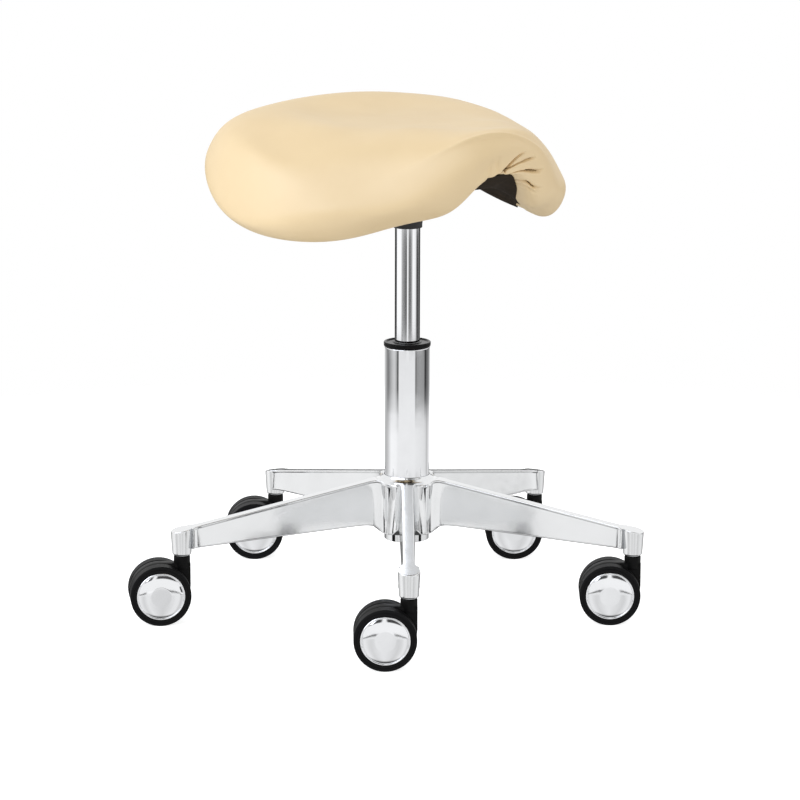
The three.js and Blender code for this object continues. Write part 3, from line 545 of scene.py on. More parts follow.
# Gathers in the front arch: azimuths in degrees at the steps of GATHER_STEPS from the hem, depth and
# half-width in millimetres, and the place above which they have faded.
GATHERS = (
    ((-4.0, -3.2, -2.0, 1.7, 6.5), 5.4, 1.8, 4.9),
    ((-3.0, -2.2, -1.5, 6.4, 11.8), 5.8, 1.8, 4.8),
    ((0.0, 1.5, 8.0, 12.2, 18.5), 5.6, 1.9, 4.9),
    ((8.6, 11.0, 13.6, 18.8, 27.0), 5.4, 1.8, 5.7),
    ((11.0, 13.2, 15.6, 20.5, 28.0), 2.4, 1.6, 6.1),
    ((-4.5, -4.5, -4.5, -4.7, -5.0), 1.5, 2.3, 5.2),
    ((-8.0, -7.8, -7.5, -7.5, -7.5), 1.3, 2.4, 5.3),
)
GATHER_STEPS = (0, 0.8, 1.3, 2.0, 2.9)
GATHER_RADIUS = 178  # of the hem in front, in millimetres
GATHER_RIDGE = 0.35
GATHER_SPREAD = 1.6
GATHER_FADE = 0.9
# Painted shade: cover faces deeper in a gather than FOLD_DEPTH take the darker copy of the leatherette.
FOLD_DEPTH = 2.3  # deeper than this the cover lies in its own shade
NEAR_SIDE_PULL = 0.35


def gathers(azimuth, place):
    """How far the cover is drawn in: for each gather, depth times a bell across it with a low ridge on
    both sides, faded out towards its upper end. The cover was pulled harder on its left."""
    degrees = ((azimuth / DEG + 180) % 360 - 180)[None, :]
    from_hem = 8 - place[:, None]
    depth = np.zeros((len(place), len(azimuth)))
    for path, deep, half, last in GATHERS:
        off = (degrees - np.interp(from_hem, GATHER_STEPS, path)) * DEG * GATHER_RADIUS / half
        fade = np.clip((place[:, None] - last) / GATHER_FADE, 0, 1)
        fade = fade * fade * (3 - 2 * fade)
        depth += deep * (1 - GATHER_RIDGE * off**2) * np.exp(-(off**2) / GATHER_SPREAD) * fade
    return depth


# Rows of points in each interval of the meridian's nine points, for smoothing.
SMOOTH_ROWS = (24, 17, 14, 12, 14, 6, 6, 7)
SMOOTH_PASSES = 30
HEM_ROWS = 6
# The crest over the arch: its place on the meridian, height, width, and its middle and half-angle in
# degrees. It lies lower on the left by CREST_SHIFT.
CREST_PLACE = 4.32
CREST_HEIGHT = 3.8
CREST_WIDTH = 0.11
CREST_MIDDLE = -3
CREST_HALF_ANGLE = 18
CREST_SHIFT = 0.3
CREST_SHIFT_ANGLE = 9
HEM_CORNER = 9.0
HEM_CORNER_HALF = 5.5
HEM_DRAWN = 8.0
HEM_DRAWN_FROM = 6.4  # place on the meridian
HEM_DRAWN_SPAN = 1.6
HEM_DRAWN_POWER = 1.5


def blurred(rows, weight):
    """Thirty passes of a quarter, a half and a quarter along the meridian, mirrored at the pole."""
    for _ in range(SMOOTH_PASSES):
        above = np.concatenate([rows[1:2] * np.array([-1, 1]), rows[:-1]])
        below = np.concatenate([rows[1:], rows[-1:]])
        rows = rows + weight * ((above + 2 * rows + below) / 4 - rows)
    return rows


def smooth_meridians(azimuth):
    """Meridian rows b + (b - blurred b), where b is the blurred meridian; the last rows before the hem
    keep their place. Returns the rows and their places."""
    place = np.concatenate([k + np.arange(n) / n for k, n in enumerate(SMOOTH_ROWS)] + [[8.0]])
    rows = along_meridian(meridians(azimuth), place)
    weight = np.clip((len(place) - 1 - np.arange(len(place))) / HEM_ROWS, 0, 1)[:, None, None]
    once = blurred(rows, weight)
    return 2 * once - blurred(once, weight), place


def hem_pull(azimuth):
    """How far the hem is drawn in and down at the corners of the front arch: a bell round HEM_CORNER on
    each side, weaker on the side where the cover was pulled less."""
    degrees = (azimuth / DEG + 180) % 360 - 180
    bell = lambda side: np.exp(-(((side * degrees - HEM_CORNER) / HEM_CORNER_HALF) ** 2))
    return HEM_DRAWN * (bell(1) + NEAR_SIDE_PULL * bell(-1))


def outer_grid(azimuth):
    """The cover from the top to the hem, with its crest and gathers, and the place of each row."""
    rows, place = smooth_meridians(azimuth)
    hem_part = int(np.searchsorted(place, 4.0))
    index = np.concatenate([np.arange(2, hem_part, 2), np.arange(3 * hem_part, 3 * len(place) - 2) / 3])
    radius, z = np.moveaxis(along_meridian(rows, index), -1, 0)
    place = np.interp(index, np.arange(len(place)), place)
    towards_hem = np.clip((place - HEM_DRAWN_FROM) / HEM_DRAWN_SPAN, 0, 1)[:, None]
    drawn = towards_hem**HEM_DRAWN_POWER * hem_pull(azimuth)[None, :]
    grid = in_room(radius - drawn, azimuth, z - drawn)
    degrees = (azimuth / DEG + 180) % 360 - 180
    front = 1 / (1 + (np.abs(degrees - CREST_MIDDLE) / CREST_HALF_ANGLE) ** 4)
    along = CREST_PLACE + CREST_SHIFT * np.tanh(degrees / CREST_SHIFT_ANGLE)
    off_crest = (place[:, None] - along[None, :]) / CREST_WIDTH
    crest = CREST_HEIGHT * np.exp(-(off_crest**2)) * front[None, :]
    push = crest - gathers(azimuth, place)
    return grid + push[..., None] * surface_normals(grid), place


def under_grid(azimuth, share, lift=0.0):
    """The underside: flat to a share of the hem's radius, then z = flat + (hem - flat) bend^2."""
    hem = meridians(azimuth)[-1] - hem_pull(azimuth)[:, None]
    share = np.asarray(share, float)[:, None]
    bend = np.maximum(0, (share - UNDERSIDE_FLAT) / (1 - UNDERSIDE_FLAT))
    z = UNDERSIDE + (hem[None, :, 1] - UNDERSIDE) * bend**2
    grid = in_room(hem[None, :, 0] * share, azimuth[None, :], z)
    if lift:
        normal = surface_normals(grid)
        normal *= np.sign(normal[..., 2:])
        grid = grid + lift * normal
    return grid


HEM_LAP = (0.8, 0.45)  # on the seat's left and right side
LAP_CLEARANCE = 1.7
LAP_FROM = 90  # degrees from the front
LAP_OVER = 9
LAP_STEPS = (0, 0.25, 0.5, 0.75, 1.0)
CLOTH_THICKNESS = 1.1
COVER_LIP = 1.8
PADDING_FLOOR = 10.8  # the padding's lower face above the flat underside


def hem_lap(azimuth, lift=0.0):
    """Where the cloth laps round the hem: rows that run back up the cover's roll, clear of it by a
    little more than the cloth's thickness. There is no lap round the front flaps."""
    cover, place = outer_grid(azimuth)
    normal = surface_normals(cover)
    signed = (azimuth / DEG + 180) % 360 - 180
    reach = np.where(signed > 0, *HEM_LAP) * np.clip((np.abs(signed) - LAP_FROM) / LAP_OVER, 0, 1)
    edge = under_grid(azimuth, [0.97, 0.985], lift)[-1]
    shown = np.clip(reach / LAP_STEPS[1], 0, 1)[:, None]
    rows = []
    for share in LAP_STEPS:
        at = np.interp(8 - reach * share, place, np.arange(len(place)))
        low = np.minimum(at.astype(int), len(place) - 2)
        mix = (at - low)[:, None]
        column = np.arange(len(azimuth))
        point = cover[low, column] * (1 - mix) + cover[low + 1, column] * mix
        out = normal[low, column] * (1 - mix) + normal[low + 1, column] * mix
        rows.append(edge + (point + (LAP_CLEARANCE - lift) * out - edge) * shown)
    return np.array(rows)


class StoolSeatSettings(bpy.types.PropertyGroup):
    leatherette: bpy.props.StringProperty(
        name="Leatherette", description="Colour of the cover", default="#E2C99C"
    )
    leatherette_shade: bpy.props.StringProperty(
        name="Leatherette shade", description="Colour of the cover's darker mottling", default="#DEC496"
    )
    # Painted shade: the darker leatherette colour given to the deepest faces of the gathers.
    fold_painted_shade: bpy.props.StringProperty(
        name="Folds", description="Colour deep in the gathers", default="#8A6D41"
    )
    dust_cloth: bpy.props.StringProperty(
        name="Dust cloth", description="Colour of the cloth below", default="#3B2E1F"
    )
    dust_cloth_shade: bpy.props.StringProperty(
        name="Dust cloth shade", description="Colour between its threads", default="#20180E"
    )
    beech: bpy.props.StringProperty(
        name="Beech", description="Colour of the plywood shell", default="#D2B283"
    )
    beech_shade: bpy.props.StringProperty(
        name="Beech shade", description="Colour of its rings", default="#B08C5C"
    )
    columns: bpy.props.IntProperty(
        name="Cover columns", description="Points round the cover", default=640, min=60, max=800
    )


class StoolMetalSettings(bpy.types.PropertyGroup):
    aluminium: bpy.props.StringProperty(
        name="Aluminium", description="Colour of the cast base", default="#E9EAEB"
    )
    chrome: bpy.props.StringProperty(
        name="Chrome", description="Colour of chromed pieces", default="#EDEEF0"
    )
    steel: bpy.props.StringProperty(
        name="Steel", description="Colour of the lift cylinder", default="#E6E7E9"
    )
    zinc: bpy.props.StringProperty(
        name="Zinc", description="Colour of zinc-plated pieces", default="#B4B6B8"
    )
    black_paint: bpy.props.StringProperty(
        name="Powder coat", description="Colour of painted steel", default="#101011"
    )
    nylon: bpy.props.StringProperty(
        name="Nylon", description="Colour of hoods, ring and grip", default="#0B0B0B"
    )
    tread: bpy.props.StringProperty(
        name="Wheels", description="Colour of the castor wheels", default="#0F0F10"
    )
    # Painted shade: the near-black given to the hub's groove bottoms, slits and notches, standing in for their
    # shadow and dark reflections.
    groove_painted_shade: bpy.props.StringProperty(
        name="Cast skin", description="Colour of the casting where no wheel can polish it", default="#141415"
    )
    rubber: bpy.props.StringProperty(
        name="Rubber", description="Colour of the bump stop", default="#202021"
    )


class StoolStageSettings(bpy.types.PropertyGroup):
    lens: bpy.props.FloatProperty(name="Lens", description="Focal length", default=153.37, unit="CAMERA")
    distance: bpy.props.FloatProperty(
        name="Camera distance", description="From the column, level", default=3.716, unit="LENGTH"
    )
    height: bpy.props.FloatProperty(
        name="Camera height", description="Above the floor", default=1.0088, unit="LENGTH"
    )
    aside: bpy.props.FloatProperty(
        name="Camera aside", description="To the right of the column", default=-0.0079, unit="LENGTH"
    )
    pitch: bpy.props.FloatProperty(
        name="Camera pitch", description="Downwards", default=0.2062, subtype="ANGLE"
    )
    roll: bpy.props.FloatProperty(
        name="Camera roll", description="Anticlockwise from behind", default=0.0026, subtype="ANGLE"
    )


class STOOL_OT_seat_cover(bpy.types.Operator):
    """Builds the upholstered saddle"""

    bl_idname = "stool.seat_cover"
    bl_label = "Saddle"

    def execute(self, context):
        azimuth = saddle_azimuths(context.scene.stool_seat.columns)
        grid, place = outer_grid(azimuth)
        lip = under_grid(azimuth, [0.975, 0.965], COVER_LIP)
        inside = under_grid(azimuth, [0.93, 0.86, 0.75, 0.6, 0.4, 0.2])
        inside[..., 2] += PADDING_FLOOR
        rows = np.concatenate([grid, lip, inside])
        top = (0, 0, FLAP_BOTTOM + SADDLE_DEPTH * TOP_CENTRE)
        shell = closed(rows, top, (0, 0, UNDERSIDE + PADDING_FLOOR)).moved(AXIS)
        made = piece(
            "saddle_cushion", shell, material("leatherette"), "seat",
            ("seat_cover", "seat_foam"), crease=70,
        )
        # Painted shade: faces deeper in the gathers than FOLD_DEPTH get the darker leatherette copy.
        made.data.materials.append(material("fold_painted_shade"))
        deep = gathers(azimuth, place) > FOLD_DEPTH
        deep = deep[:-1] & deep[1:] & np.roll(deep[:-1], -1, axis=1) & np.roll(deep[1:], -1, axis=1)
        index = np.zeros(len(made.data.polygons), int)
        index[: deep.size] = deep.reshape(-1)
        made.data.polygons.foreach_set("material_index", index)
        return {"FINISHED"}


class STOOL_OT_underside(bpy.types.Operator):
    """Builds the cloth that closes the seat below"""

    bl_idname = "stool.underside"
    bl_label = "Dust cloth"

    def execute(self, context):
        azimuth = saddle_azimuths(240)
        flat = np.linspace(0.05, UNDERSIDE_FLAT, 12, endpoint=False)
        share = np.concatenate([flat, np.linspace(UNDERSIDE_FLAT, 0.985, 28)])
        low = np.concatenate([under_grid(azimuth, share), hem_lap(azimuth)])
        high = np.concatenate(
            [under_grid(azimuth, share, CLOTH_THICKNESS), hem_lap(azimuth, CLOTH_THICKNESS)]
        )
        rows = np.concatenate([low, high[::-1]])
        shell = closed(rows, (0, 0, UNDERSIDE), (0, 0, UNDERSIDE + CLOTH_THICKNESS)).moved(AXIS)
        made = piece(
            "dust_cloth", shell, material("dust_cloth"), "seat", ("dust_cover",), crease=60
        )
        return {"FINISHED"}


class STOOL_OT_lift(bpy.types.Operator):
    """Builds the gas lift's cylinder, the ring it slides in and the cone under the seat"""

    bl_idname = "stool.lift"
    bl_label = "Gas lift"

    def execute(self, context):
        low, high = node_box("gas_cylinder")
        profile = rounded(
            [(5.2, low[2]), (14, low[2]), (14, high[2] - 18), (11.6, high[2]), (3.2, high[2]),
             (3.2, high[2] - 10), (9, high[2] - 12), (12.4, high[2] - 30), (12.4, low[2] + 6),
             (5.2, low[2] + 6)],
            0.8, ring=True,
        )
        piece(
            "lift_cylinder", turned(profile, 128, ring=True).moved(AXIS), material("ground_steel"),
            "seat", ("gas_cylinder",),
        )
        low, high = node_box("seat_socket")
        profile = rounded(
            [(14.4, low[2]), (16.2, low[2]), (16.2, low[2] + 3), (19, high[2]), (12.2, high[2]),
             (14.4, low[2] + 11)],
            0.7, ring=True,
        )
        piece(
            "lift_socket", turned(profile, 96, ring=True).moved(AXIS), material("paint"),
            "seat", ("seat_socket",),
        )
        low, high = node_box("guide_sleeve")
        column_top = COLUMN_HIGH[2]
        profile = rounded(
            [(14.25, low[2]), (22.7, low[2]), (22.7, column_top + 0.3), (26.1, column_top + 0.3),
             (26.1, high[2]), (23.6, high[2]), (22.9, high[2] - 1.1), (16.4, high[2] - 1.1),
             (15.4, high[2] - 0.3), (14.25, high[2] - 0.3)],
            [0.4, 0.4, 0.1, 1.7, 2.3, 0.7, 0.4, 0.4, 0.4, 0.3], ring=True,
        )
        piece(
            "guide_ring", turned(profile, 128, ring=True).moved(AXIS), material("ring"),
            "base", ("guide_sleeve",),
        )
        return {"FINISHED"}


class STOOL_OT_column(bpy.types.Operator):
    """Builds the chromed stand tube"""

    bl_idname = "stool.column"
    bl_label = "Stand tube"

    def execute(self, context):
        low, high = COLUMN_LOW[2], COLUMN_HIGH[2]
        profile = rounded(
            [(4.6, low), (22.4, low), (25, TAPER_TOP), (25, high), (23, high), (23, TAPER_TOP),
             (20.4, low + 3), (4.6, low + 3)],
            [0.3, 0.8, 40, 0.9, 0.5, 40, 0.5, 0.3], ring=True,
        )
        piece(
            "stand_tube", turned(profile, 160, ring=True).moved(AXIS), material("chrome"),
            "base", ("column_tube",),
        )
        return {"FINISHED"}


HUB_LOW, HUB_HIGH = node_box("star_base")[0][2], node_box("star_base")[1][2]
TAPER_TOP = HUB_HIGH - 0.9  # where the stand tube starts to taper
LOBES = 15
HUB_STEPS = 1080
LOBE_SHARPNESS = 1.4
FOOT_HEIGHT = 8.8
FOOT_RADIUS = 25.2
NOTCHES = 10
NOTCH_DEPTH = 1.5


def hub_shell():
    """The hub: a profile radius r(z) with fifteen lobes. Between two lobes the wall goes in by
    depth(z) (1 - |cos(7.5 a)|)^1.4, and the collar above them rises to the tube. The foot has ten
    notches."""
    low, top = HUB_LOW, HUB_HIGH
    profile = rounded(
        [(22.95, low), (25.2, low), (25.2, low + 9), (27.7, low + 10.2), (30.0, low + 15), (33.5, low + 23),
         (36.1, top - 8.6), (35.6, top - 6.6), (30.0, top - 4.6), (27.4, top - 1.8), (26.5, top),
         (25.5, top), (25.3, top - 7)],
        [0.3, 0.6, 0.5, 1.6, 8, 12, 1.2, 1.6, 3.5, 1.6, 0.5, 0.3, 0.3], steps=7, ring=True,
    )
    steps_up = np.concatenate([[0], np.cumsum(np.hypot(*np.diff(profile, axis=0).T))])
    even = np.unique(np.concatenate([steps_up, np.arange(0, steps_up[-1], 1.5)]))
    profile = np.stack([np.interp(even, steps_up, profile[:, k]) for k in (0, 1)], axis=-1)
    height = profile[:, 1]
    levels = [low + 10, low + 16, low + 26, top - 12, top - 8.4, top - 7]
    deep = np.interp(height, levels, [0, 1.0, 3.2, 3.6, 2.6, 0])
    deep = np.where(profile[:, 0] < 26.8, 0, deep)
    angle = np.arange(HUB_STEPS) / HUB_STEPS * TURN
    groove = (1 - np.abs(np.cos(LOBES / 2 * (angle - FIRST_ARM)))) ** LOBE_SHARPNESS
    radius = profile[:, :1] - deep[:, None] * groove[None, :]
    notch_angle = (angle - FIRST_ARM) / (TURN / NOTCHES)
    off = np.abs(notch_angle - np.round(notch_angle)) * TURN / NOTCHES * FOOT_RADIUS
    notch = np.clip((2.0 - off) / 0.4, 0, 1)
    foot = ((height < low + FOOT_HEIGHT) & (profile[:, 0] > FOOT_RADIUS - 0.6))[:, None]
    radius = np.where(foot, radius - NOTCH_DEPTH * notch[None, :], radius)
    z = np.repeat(height[:, None], HUB_STEPS, axis=1)
    grid = np.stack([radius * np.cos(angle), radius * np.sin(angle), z], axis=-1)
    made = closed(grid, ring=True)
    # Painted shade: near-black in a wedge at the grooves' bottoms between the arms, narrower below, in a
    # slit beside each arm and in the foot's notches, standing in for the shadow and dark reflections there.
    turn = (angle - FIRST_ARM) / (TURN / ARMS)
    between_arms = (np.abs(turn - np.round(turn)) * 72)[None, :]
    share = np.clip((height - low - 14) / 44, 0, 1)[:, None]
    wedge = np.abs(between_arms - 36) < 0.7 + 2.6 * share
    slit = np.abs(between_arms - 12) < 0.25 + 0.9 * share
    on_lobes = (height > low + 12) & (height < top - 8.9) & (profile[:, 0] > 28)
    dull = (wedge | slit) & on_lobes[:, None]
    notched = foot & (notch[None, :] > 0.5)
    made.dull = (dull | notched).reshape(-1)
    return made


ARM_ROOT = 29.0
ARM_TIP = ARM_REACH - 10.5
ARM_TOP = (HUB_HIGH - 1.9, HUB_HIGH - 42.7)
ARM_BOTTOM = (HUB_HIGH - 52.9, HUB_HIGH - 66.1)
ARM_SLOPE = (ARM_TOP[0] - ARM_TOP[1]) / (ARM_TIP - ARM_ROOT)
ARM_DRAFT = 5.0 * DEG
ARM_HALF = 6.3
ARM_RAIL = 3.0  # height of the rail along the top
ARM_WEB_INSET = 1.2


def arm_shell():
    """One arm along +X. Its half-width is 6.3 + 5.5 e^(-(x-34)/5) + 3.6 e^(-(tip-x)/3.6), its edges run
    straight from the hub to the socket, and its lower edge comes down by 9 e^(-(x-34)/6) into the hub.
    Below a rail along its top its sides lie further in, and lean out downwards by ARM_DRAFT."""
    x = np.concatenate(
        [np.linspace(28, 60, 40, endpoint=False), np.linspace(60, 228, 50, endpoint=False),
         np.linspace(228, ARM_TIP + 1, 26)]
    )
    along = (x - ARM_ROOT) / (ARM_TIP - ARM_ROOT)
    top = ARM_TOP[0] + (ARM_TOP[1] - ARM_TOP[0]) * along
    edge = ARM_BOTTOM[0] + (ARM_BOTTOM[1] - ARM_BOTTOM[0]) * along
    bottom = edge - 9 * np.exp(-(x - 34) / 6)
    half = ARM_HALF + 5.5 * np.exp(-(x - 34) / 5) + 3.6 * np.exp(-(ARM_TIP - x) / 3.6)
    half = np.minimum(half, 20)
    top = top - 7 * np.exp(-(((x - 27) / 6) ** 2))
    bottom = np.maximum(bottom, HUB_LOW + 10.6)
    bottom = np.where(along > 0.5, edge, bottom)
    sections = []
    for t, b, h in zip(top, bottom, half):
        lower = h - ARM_WEB_INSET + (t - b - ARM_RAIL) * math.tan(ARM_DRAFT)
        points = [(h, t), (h, t - 2.0), (h - ARM_WEB_INSET, t - ARM_RAIL), (lower, b)]
        radii = [1.3, 0.25, 0.35, 1.6]
        both = points + [(-y, z) for y, z in reversed(points)]
        sections.append(rounded(both, radii + radii[::-1], steps=6, ring=True))
    sections = np.array(sections)
    stations = np.broadcast_to(x[:, None, None], sections.shape[:2] + (1,))
    grid = np.concatenate([stations, sections], axis=-1)
    return closed(grid, grid[0].mean(axis=0), grid[-1].mean(axis=0))


def socket_shell():
    """The stem socket at an arm's tip: a tapered cup round a blind hole. Its roof falls with the arm's
    top: heights above the middle are lowered by slope times x."""
    top = ARM_TOP[1] - 10.5 * ARM_SLOPE + 0.1
    low = HUB_LOW + 1.5
    profile = rounded(
        [(5.9, top - 5), (5.9, low), (9.9, low), (10.5, low + 1.1), (12.0, top - 1.6), (11.9, top),
         (0, top)],
        [0.3, 0.6, 0.4, 0.5, 0.9, 1.5, 0], steps=6,
    )
    profile = np.vstack([[(0, top - 5)], profile])
    made = turned(profile, 96)
    share = np.clip((made.points[:, 2] - low - 12) / (top - low - 14), 0, 1)
    made.points[:, 2] -= made.points[:, 0] * ARM_SLOPE * share
    return made


class STOOL_OT_base(bpy.types.Operator):
    """Builds the polished star base"""

    bl_idname = "stool.base"
    bl_label = "Star base"

    def execute(self, context):
        shells = [hub_shell().moved(AXIS)]
        for k in range(ARMS):
            axes = heading_axes(FIRST_ARM + k * TURN / ARMS)
            shells.append(arm_shell().moved(AXIS, axes))
            shells.append(socket_shell().moved(AXIS + ARM_REACH * axes[0], axes))
        made = piece(
            "star_base_casting", shells, material("aluminium"), "base", ("star_base",)
        )
        # Painted shade: the hub's masked groove bottoms, slits and notches take the near-black finish.
        made.data.materials.append(material("groove_painted_shade"))
        hub = shells[0]
        dull = hub.dull[hub.quads].all(axis=1).astype(int)
        rest = len(made.data.polygons) - len(dull)
        made.data.polygons.foreach_set("material_index", np.concatenate([dull, np.zeros(rest, int)]))
        return {"FINISHED"}


WHEEL_RADIUS = joint_place("castor_1_left_spin")[0][2]
WHEEL_INNER = 7.6
WHEEL_OUTER = 23.1
CAP_RADIUS = 26.4
CAP_FLAT = 0.45  # the cap's middle is flat this far out


def wheel_shell():
    """A wheel with its axle on Z, outwards from the hood: rounded tread shoulders, a groove where the
    tread meets the disc, and a shallow seat for the cap."""
    profile = rounded(
        [(3.3, WHEEL_INNER), (28.3, WHEEL_INNER), (28.8, WHEEL_INNER + 0.8), (29.8, WHEEL_INNER + 0.8),
         (30.2, WHEEL_INNER), (WHEEL_RADIUS, WHEEL_INNER), (WHEEL_RADIUS, WHEEL_OUTER), (30.4, WHEEL_OUTER),
         (30.1, WHEEL_OUTER - 0.4), (29.6, WHEEL_OUTER - 0.4), (29.3, WHEEL_OUTER), (26.8, WHEEL_OUTER),
         (26.6, WHEEL_OUTER - 3), (3.3, WHEEL_OUTER - 3)],
        [0.3, 0.4, 0.2, 0.2, 0.3, 2.2, 2.2, 0.3, 0.2, 0.2, 0.3, 0.4, 0.3, 0.3], steps=7, ring=True,
    )
    return turned(profile, 112, ring=True)


def cap_shell():
    """A cap with its axle on Z: a rim bead, a groove inside it, and a dome round a flat middle. Its height
    at the share s of its radius is 1.2 (1 - s) + 0.6 (1 - s^2) + 1.6 (1 - s^6)."""
    inner = CAP_RADIUS - 2.0
    share = np.concatenate(
        [np.linspace(1, 0.8, 14, endpoint=False), np.linspace(0.8, 0.46, 10), [0.44, 0.2, 0]]
    )
    curved = np.maximum(share, CAP_FLAT)
    dome = WHEEL_OUTER + 0.1 + 1.2 * (1 - curved) + 0.6 * (1 - curved**2) + 1.6 * (1 - curved**6)
    rim = rounded(
        [(CAP_RADIUS, WHEEL_OUTER - 2.6), (CAP_RADIUS, WHEEL_OUTER + 0.5),
         (CAP_RADIUS - 0.6, WHEEL_OUTER + 1.1), (CAP_RADIUS - 1.4, WHEEL_OUTER + 0.9),
         (inner + 0.2, WHEEL_OUTER + 0.1), (inner, WHEEL_OUTER + 0.1)],
        [0.1, 0.5, 0.5, 0.4, 0.1, 0], steps=5,
    )
    profile = np.vstack([[(0, WHEEL_OUTER - 2.6)], rim, np.stack([inner * share, dome], axis=-1)[1:]])
    return turned(profile, 96)


HOOD_HALF = 7.0
HOOD_ROOF = 33.2
HOOD_BOSS = 10.3
NECK_RADIUS = 9.0


def hood_shells(trail):
    """The hood between two wheels: a web with the outline of the castor's back, the roof over the
    wheels and the boss round the axle, and the round neck that turns on the stem. Trailing to +X."""
    arc = lambda centre, radius, first, last, steps: [
        (centre[0] + radius * math.cos(a), centre[1] + radius * math.sin(a))
        for a in np.linspace(first * DEG, last * DEG, steps)
    ]
    neck_top = joint_place("castor_1_swivel")[0][2]
    heel, sole = neck_top - 32.6, WHEEL_RADIUS - HOOD_BOSS
    outline = [(-NECK_RADIUS, neck_top - 7.8)]
    for t in np.linspace(0, 1, 9):
        outline.append(
            (-NECK_RADIUS * (1 - t**2) + (trail - HOOD_BOSS) * t**2, heel + (sole - heel) * (2 * t - t**2))
        )
    outline += arc((trail, WHEEL_RADIUS), HOOD_BOSS, -110, -20, 12)
    outline += arc((trail, WHEEL_RADIUS), HOOD_ROOF, 8, 94, 26)
    outline += [(17, WHEEL_RADIUS + HOOD_ROOF - 0.3), (NECK_RADIUS, neck_top - 7.4)]
    outline = np.array(outline)
    middle = outline.mean(axis=0)
    grown = lambda share: middle + (outline - middle) * share
    edge = [(0, 0.955), (0.3, 0.985), (0.9, 1)]
    across = [(inset - HOOD_HALF, share) for inset, share in edge]
    across += [(HOOD_HALF - inset, share) for inset, share in reversed(edge)]
    rows = []
    for y, share in across:
        ring = grown(share)
        rows.append(np.stack([ring[:, 0], np.full(len(ring), y), ring[:, 1]], axis=-1))
    grid = np.array(rows)
    web = closed(grid, grid[0].mean(axis=0), grid[-1].mean(axis=0))
    neck = turned(
        rounded(
            [(0, neck_top - 14), (NECK_RADIUS, neck_top - 14), (NECK_RADIUS, neck_top), (4.4, neck_top),
             (4.4, neck_top - 1.6), (0, neck_top - 1.6)],
            [0, 1, 1.2, 0.3, 0.2, 0],
        ), 72,
    )
    return [web, neck]


class STOOL_OT_castors(bpy.types.Operator):
    """Builds the five twin-wheel castors"""

    bl_idname = "stool.castors"
    bl_label = "Castors"

    def execute(self, context):
        for k in range(1, ARMS + 1):
            stem, _ = joint_place(f"castor_{k}_swivel")
            left, across = joint_place(f"castor_{k}_left_spin")
            right, _ = joint_place(f"castor_{k}_right_spin")
            axle = (left + right) / 2
            out = axle - stem
            out[2] = 0
            trail = float(np.linalg.norm(out))
            along = out / trail
            axes = np.array([along, across, (0, 0, 1)])
            ground = np.array([stem[0], stem[1], 0])
            hood = [shell.moved(ground, axes) for shell in hood_shells(trail)]
            piece(
                f"castor_{k}_housing", hood, material("nylon"), f"castor_{k}",
                (f"castor_{k}_hood",), crease=40,
            )
            low, high = node_box(f"castor_{k}_stem")
            profile = rounded(
                [(0, low[2]), (4, low[2]), (4, stem[2] + 0.3), (8, stem[2] + 0.3), (8, stem[2] + 1.5),
                 (5.5, stem[2] + 1.5), (5.5, high[2]), (0, high[2])],
                [0, 0.4, 0.1, 0.4, 0.4, 0.2, 1.2, 0],
            )
            piece(
                f"castor_{k}_pintle", turned(profile, 48).moved((stem[0], stem[1], 0)), material("zinc"),
                "base", (f"castor_{k}_stem",),
            )
            for side, sign in (("left", 1), ("right", -1)):
                outwards = np.array([along, np.cross(sign * across, along), sign * across])
                body = f"castor_{k}_{side}"
                piece(
                    f"castor_{k}_tyre_{side}", wheel_shell().moved(axle, outwards), material("tread"),
                    body, (f"castor_{k}_wheel_{side}",),
                )
                piece(
                    f"castor_{k}_hubcap_{side}", cap_shell().moved(axle, outwards), material("cap_chrome"),
                    body, (f"castor_{k}_cap_{side}",),
                )
        return {"FINISHED"}


LEVER_HEADING = 110 * DEG
LEVER_DROP = 17
LEVER_END = 192
GRIP_RIBS = 6


class STOOL_OT_lever(bpy.types.Operator):
    """Builds the height lever and its grip"""

    bl_idname = "stool.lever"
    bl_label = "Height lever"

    def execute(self, context):
        pivot, _ = joint_place("lever_tilt")
        axes = heading_axes(LEVER_HEADING)
        s = np.linspace(0, 1, 24)
        bend = 76 + 32 * s
        drop = LEVER_DROP * s**2 * (3 - 2 * s)
        path = [(-4, 0, 0), (20, 0, 0), (50, 0, 0)] + [(b, 0, -d) for b, d in zip(bend, drop)]
        path += [(x, 0, -LEVER_DROP) for x in (130, 160, LEVER_END)]
        rod = swept(path, circle(4, 40))
        origin = np.array([AXIS[0], AXIS[1], pivot[2]])
        piece(
            "lever_rod", rod.moved(origin, axes), material("zinc"), "lever", ("release_lever",)
        )
        end = LEVER_END + 8.3
        profile = [(0, 0), (5.0, 0), (7.5, 2.5), (7.5, 10)]
        for k in range(GRIP_RIBS):
            at = 14 + 6 * k
            profile += [(7.5, at - 1.5), (6.7, at - 0.6), (6.7, at + 0.6), (7.5, at + 1.5)]
        profile += [(7.5, 59.5), (5.0, 62), (4.3, 62), (4.3, 8), (0, 8)]
        radii = [0, 2.4, 2.4, 0] + [0.5] * 4 * GRIP_RIBS + [2.4, 0.8, 0.3, 0.3, 0]
        outwards = np.array([-axes[1], axes[2], -axes[0]])
        grip = turned(rounded(profile, radii, steps=4), 64).moved(
            origin + end * axes[0] + np.array([0, 0, -LEVER_DROP]), outwards
        )
        piece("lever_handle", grip, material("nylon"), "lever", ("lever_grip",))
        return {"FINISHED"}


